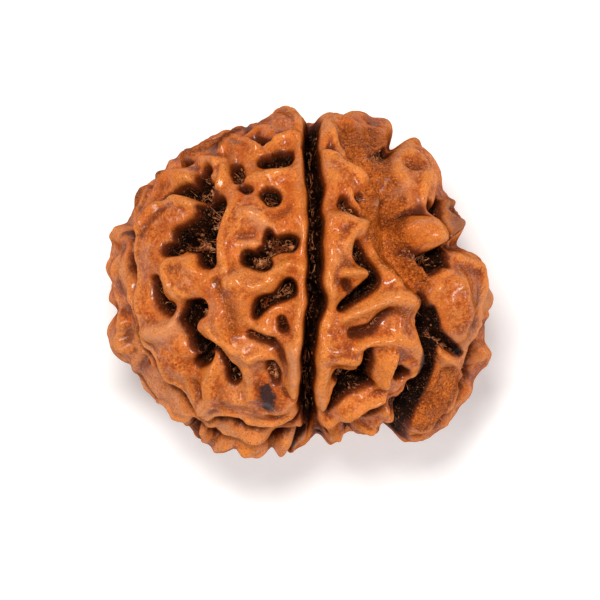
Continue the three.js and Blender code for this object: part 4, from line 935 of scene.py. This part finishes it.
def make_fibres(surface, material):
    rng = np.random.default_rng(PULP_SEED)
    verts, faces = [], []

    def add(stroke, spread, lengths, along, wander):
        start, heading = spot_on(stroke, rng, spread)
        if surface.hollow(start, surface.radius(start)) < HOLLOW_DEPTH:
            return
        angle = rng.normal(0, STRAND_TURN) if along else rng.uniform(0, 2 * math.pi)
        way = towards(angle, heading, np.cross(start, heading))
        way = unit(way - (way @ start) * start)
        points = fibre_path(surface, start, way, rng.uniform(*lengths), wander, rng)
        if len(points) > 3:
            add_tube(points, rng.uniform(*FIBRE_RADIUS), verts, faces)

    for stroke in PIT_STROKES + HIDDEN_PITS:
        for _ in range(int(area_of(stroke) * FIBRES_PER_MM2)):
            add(stroke, FIBRE_SPREAD, FIBRE_LENGTH, False, FIBRE_WANDER)
    for stroke in GROOVES:
        length = run_lengths(stroke[0]).sum() * SEED_R
        for _ in range(int(length * GROOVE_STRANDS_PER_MM)):
            add(stroke, STRAND_SPREAD, STRAND_LENGTH, True, STRAND_WANDER)
    return make_object("pulp_fibres", to_mesh("fibres", verts, faces), material)


def make_crumbs(surface, material):
    rng = np.random.default_rng(PULP_SEED + 1)
    shape = make_ball(1)
    corners = read(shape.vertices, "co", 3, np.float32).astype(float)
    sides = read(shape.polygons, "vertices", 3, np.int32)
    verts, faces = [], []
    for stroke in PIT_STROKES + HIDDEN_PITS + GROOVES:
        for _ in range(int(area_of(stroke) * CLUMPS_PER_MM2)):
            clump = spot_on(stroke, rng, 1.0)[0]
            for _ in range(rng.integers(*CLUMP_CRUMBS)):
                d = unit(clump + rng.normal(0, CLUMP_SPREAD / SEED_R, 3))
                r = surface.radius(d)
                if surface.hollow(d, r) < HOLLOW_DEPTH:
                    continue
                size = CRUMB_RADIUS[0] + (CRUMB_RADIUS[1] - CRUMB_RADIUS[0]) * rng.uniform() ** 3
                stretch = rng.uniform(*CRUMB_STRETCH, 3)
                rough = corners * size * stretch * rng.uniform(*CRUMB_ROUGHNESS, (len(corners), 1))
                base = len(verts)
                verts.extend(d * (r + CRUMB_LIFT * size) + rough)
                faces.extend((base + sides).tolist())
    return make_object("pulp_crumbs", to_mesh("crumbs", verts, faces), material)


# Materials.
def srgb(red, green, blue):
    linear = [((c / 255 + 0.055) / 1.055) ** 2.4 for c in (red, green, blue)]
    return (*linear, 1)


class Nodes:
    """Short names for the shader nodes that the materials are made of."""

    def __init__(self, name):
        self.material = bpy.data.materials.new(name)
        self.material.use_nodes = True
        self.tree = self.material.node_tree
        self.shader = self.tree.nodes["Principled BSDF"]
        where = self.new("TexCoord").outputs["Object"]
        self.where = self.new("VectorMath", {"operation": "SCALE"}, Vector=where, Scale=1 / MM).outputs[0]

    def new(self, kind, settings=None, **inputs):
        """A node with its settings made and its inputs fed; in an input's name _ stands for a space."""
        node = self.tree.nodes.new("ShaderNode" + kind)
        for name, value in (settings or {}).items():
            setattr(node, name, value)
        for name, value in inputs.items():
            self.feed(value, node.inputs[name.replace("_", " ")])
        return node

    def feed(self, value, socket):
        if isinstance(value, bpy.types.NodeSocket):
            self.tree.links.new(value, socket)
        else:
            socket.default_value = value

    def finish(self, **inputs):
        for name, value in inputs.items():
            self.feed(value, self.shader.inputs[name.replace("_", " ")])
        return self.material

    def attribute(self, name):
        return self.new("Attribute", {"attribute_name": name}).outputs["Fac"]

    def noise(self, per_mm, detail=3, roughness=0.55, offset=0):
        node = self.new("TexNoise", {"noise_dimensions": "4D"}, Vector=self.where, W=offset, Scale=per_mm,
                        Detail=detail, Roughness=roughness)
        return node.outputs["Fac"]

    def cells(self, per_mm, offset=0):
        """Distance to the nearest of scattered points, and that point's random number."""
        node = self.new("TexVoronoi", {"voronoi_dimensions": "4D"}, Vector=self.where, W=offset, Scale=per_mm)
        return node.outputs["Distance"], self.new("SeparateColor", Color=node.outputs["Color"]).outputs[0]

    def math(self, operation, a, b):
        node = self.new("Math", {"operation": operation})
        self.feed(a, node.inputs[0])
        self.feed(b, node.inputs[1])
        return node.outputs[0]

    def times(self, a, b):
        return self.math("MULTIPLY", a, b)

    def range(self, value, low, high, to_low=0.0, to_high=1.0):
        """The value's smooth step from low to high, as to_low to to_high."""
        node = self.new("MapRange", {"interpolation_type": "SMOOTHSTEP"}, Value=value, From_Min=low,
                        From_Max=high, To_Min=to_low, To_Max=to_high)
        return node.outputs["Result"]

    def mix(self, share, a, b):
        return self.new("Mix", {"data_type": "RGBA"}, Factor=share, A=a, B=b).outputs["Result"]

    def layers(self, colour, *rows):
        """Lays colours over one another. A row holds a value, the two values between which its colour comes
        in, how much it covers at most, and the colour."""
        for value, low, high, most, over in rows:
            colour = self.mix(self.range(value, low, high, 0, most), colour, srgb(*over))
        return colour

    def turned(self):
        return self.new("LayerWeight").outputs["Facing"]

    def bump(self, height, distance_mm, strength, **below):
        node = self.new("Bump", Strength=strength, Distance=distance_mm * MM, Height=height, **below)
        return node.outputs["Normal"]


def stone_material():
    n = Nodes("stone")
    broad = n.noise(0.28, 2, offset=1)
    blotch = n.noise(0.8, 4, 0.6, offset=2)
    mottle = n.noise(4.5, 4, 0.6, offset=3)
    grain = n.noise(8.5, 3, 0.7, offset=4)
    relief = n.attribute("relief")
    # Sunken places take the granular floor colour as painted shade.
    hollow = n.math("ADD", n.attribute("hollow"), n.range(blotch, 0.3, 0.7, -0.18, 0.18))
    low = n.range(hollow, 0.4, 1.3, 0, 0.85)
    valley = n.math("MAXIMUM", low, n.range(n.attribute("valley"), 0.2, 0.8))
    depth = n.math("ADD", n.attribute("dark"), n.range(mottle, 0.25, 0.75, -0.12, 0.12))

    spread = n.range(blotch, 0.35, 0.65, -0.2, 0.2)
    rich, tan = (n.math("ADD", n.attribute(name), spread) for name in ("rich", "tan"))
    bleached = n.noise(0.45, 3, 0.6, offset=12)
    # Relief lightens raised crests as painted highlight and darkens creases as painted shade; hollow darkens
    # sunken places as painted shade; tan is partly painted sheen.
    crest = n.layers(
        srgb(196, 92, 20),
        (broad, 0.42, 0.58, 1, (178, 82, 24)),
        (blotch, 0.45, 0.65, 0.8, (142, 56, 8)),
        (blotch, 0.45, 0.3, 0.5, (212, 116, 44)),
        (mottle, 0.48, 0.6, 0.7, (222, 130, 58)),
        (mottle, 0.5, 0.38, 0.75, (146, 58, 10)),
        (relief, 0.01, 0.1, 0.65, (230, 136, 58)),
        (hollow, 0.1, 0.7, 0.6, (188, 80, 14)),
        (rich, 0.1, 0.9, 0.55, (196, 88, 16)),
        (tan, 0.1, 0.9, 0.5, (220, 138, 78)),
        (relief, 0.01, -0.08, 0.8, (110, 42, 8)),
        (bleached, 0.5, 0.66, 0.4, (202, 122, 66)),
        (grain, 0.53, 0.66, 0.6, (112, 44, 9)),
        (grain, 0.45, 0.34, 0.55, (236, 152, 82)),
    )
    floor = n.layers(
        srgb(136, 58, 12),
        (blotch, 0.35, 0.65, 1, (188, 92, 26)),
        (mottle, 0.5, 0.64, 0.7, (104, 42, 8)),
        (mottle, 0.48, 0.36, 0.5, (208, 112, 38)),
        (grain, 0.52, 0.62, 0.7, (84, 34, 9)),
        (grain, 0.45, 0.36, 0.7, (232, 146, 66)),
    )
    colour = n.mix(valley, crest, floor)

    pore_gap, pore_pick = n.cells(2.6, offset=5)
    pore = n.range(n.math("SUBTRACT", pore_gap, n.range(pore_pick, 0.62, 1, 0, 0.17)), 0.02, -0.05)
    colour = n.mix(n.times(pore, 0.8), colour, srgb(74, 32, 14))
    # Pale spots, partly painted highlights.
    colour = n.mix(n.times(n.attribute("pale"), 0.4), colour, srgb(214, 150, 116))
    # Painted shade on the far lobe.
    colour = n.mix(n.times(n.attribute("far_lobe_shade"), 0.6), colour, srgb(88, 44, 34))
    stain = n.math("ADD", n.attribute("stain"), n.range(mottle, 0.3, 0.7, -0.3, 0.3))
    dust = n.times(n.range(grain, 0.52, 0.6), n.range(mottle, 0.46, 0.6))
    dust = n.times(dust, n.range(depth, 1.9, 2.3, 1, 0))
    # Cut walls turn brown, then black with depth: partly dark old pulp, partly painted shade.
    pit = n.layers(srgb(16, 8, 5), (blotch, 0.35, 0.65, 1, (42, 17, 6)))
    pit = n.mix(n.times(dust, 0.85), pit, srgb(176, 112, 76))
    colour = n.layers(colour, (stain, 0.25, 0.8, 0.94, (18, 26, 34)), (depth, 0.14, 0.74, 1, (94, 36, 10)))
    black = n.range(depth, 0.62, 1.35)
    colour = n.mix(black, colour, pit)

    rough = n.range(mottle, 0.3, 0.7, 0.38, 0.52)
    rough = n.math("MAXIMUM", rough, n.range(valley, 0.1, 0.9, 0.3, 0.62))
    rough = n.math("SUBTRACT", rough, n.times(black, 0.32))

    normal = n.bump(n.noise(2.2, 3, 0.5, offset=6), 0.16, 0.8)
    fine = n.math("ADD", n.times(mottle, 0.6), n.times(grain, 0.4))
    normal = n.bump(fine, 0.15, 0.85, Normal=normal)
    normal = n.bump(n.noise(6, 3, 0.7, offset=13), 0.3, n.range(depth, 0.6, 1.4), Normal=normal)

    matte = n.attribute("matte")
    waxy = n.times(n.range(valley, 0.2, 0.8, 1, 0.15), n.range(mottle, 0.36, 0.58, 0.35, 1))
    waxy = n.times(waxy, n.range(matte, 0, 1, 1, 0.1))
    shine = n.times(n.range(n.turned(), 0.3, 0.8, 0.5, 0), n.range(depth, 0.2, 1, 1, 0.4))
    specular = n.times(n.range(n.turned(), 0.35, 0.85, 0.5, 0), n.range(depth, 0.3, 1.2, 1, 0.25))
    specular = n.times(specular, n.range(matte, 0, 1, 1, 0.2))
    return n.finish(Base_Color=colour, Roughness=rough, Normal=normal, IOR=1.22, Specular_IOR_Level=specular,
                    Coat_Weight=n.times(shine, waxy), Coat_Roughness=0.17)


def pulp_material(name, dark, light):
    n = Nodes(name)
    broad = n.noise(2.5, 2, offset=7)
    fine = n.noise(9, 3, offset=8)
    colour = n.layers(n.mix(n.range(broad, 0.42, 0.66), dark, light), (fine, 0.5, 0.7, 0.4, (218, 150, 102)))
    return n.finish(Base_Color=colour, Roughness=n.range(fine, 0.3, 0.7, 0.2, 0.5), Specular_IOR_Level=0.35)


# The studio: a pale floor, soft lamps and a long lens that looks straight down. Camera and floor in metres.
VIEW_PIXELS = 600
VIEW_WIDTH = VIEW_PIXELS / VIEW_SCALE * MM
CAMERA_HEIGHT = 1.5
SENSOR = 36
LIMB_HEIGHT = 12 * MM
FLOOR_HALF = 2.0
FLOOR_GLOW = 0.15
WORLD_LIGHT = 0.18


def make_floor():
    n = Nodes("floor")
    colour = n.layers(srgb(250, 250, 250), (n.noise(0.01, 2, offset=9), 0.3, 0.7, 1, (246, 246, 247)))
    material = n.finish(Base_Color=colour, Roughness=0.8, Emission_Color=srgb(255, 255, 255),
                        Emission_Strength=FLOOR_GLOW)
    mesh = bpy.data.meshes.new("floor")
    half = FLOOR_HALF
    corners = [(-half, -half, 0), (half, -half, 0), (half, half, 0), (-half, half, 0)]
    mesh.from_pydata(corners, [], [(0, 1, 2, 3)])
    make_object("floor", mesh, material)


def make_lamp(name, place_mm, size_mm, watts, colour=(1, 1, 1)):
    lamp = bpy.data.lights.new(name, "AREA")
    lamp.size = size_mm * MM
    lamp.energy = watts
    lamp.color = colour
    holder = placed(name, lamp)
    holder.location = Vector(place_mm) * MM
    target = Vector((0, 0, REST_DROP)) * MM
    holder.rotation_euler = (target - holder.location).to_track_quat("-Z", "Y").to_euler()


def make_studio():
    make_floor()
    make_lamp("key", (-30, 80, 380), 85, 1.12, (1, 0.985, 0.95))
    make_lamp("right", (230, -70, 230), 70, 0.42)
    make_lamp("left", (-220, -50, 210), 60, 0.2)
    world = bpy.data.worlds.new("studio")
    world.use_nodes = True
    background = world.node_tree.nodes["Background"].inputs
    background["Color"].default_value = (1, 1, 1, 1)
    background["Strength"].default_value = WORLD_LIGHT
    bpy.context.scene.world = world
    bpy.context.scene.view_settings.view_transform = "Standard"


def make_camera():
    lens = bpy.data.cameras.new("camera")
    lens.sensor_width = SENSOR
    lens.lens = SENSOR * (CAMERA_HEIGHT - LIMB_HEIGHT) / VIEW_WIDTH
    lens.clip_start, lens.clip_end = 0.1, 5
    camera = placed("camera", lens)
    middle = VIEW_PIXELS / 2
    across = (middle - VIEW_CENTRE[0]) / VIEW_SCALE * MM
    up = (VIEW_CENTRE[1] - middle) / VIEW_SCALE * MM
    camera.location = (across, up, CAMERA_HEIGHT)
    bpy.context.scene.camera = camera


stone = make_stone(stone_material())
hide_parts("seed")
surface = Surface(stone)
fibres = make_fibres(surface, pulp_material("fibres", srgb(132, 56, 22), srgb(226, 148, 94)))
crumbs = make_crumbs(surface, pulp_material("crumbs", srgb(44, 20, 12), srgb(192, 112, 66)))
for piece in (stone, fibres, crumbs):
    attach(piece, "root")
make_studio()
make_camera()
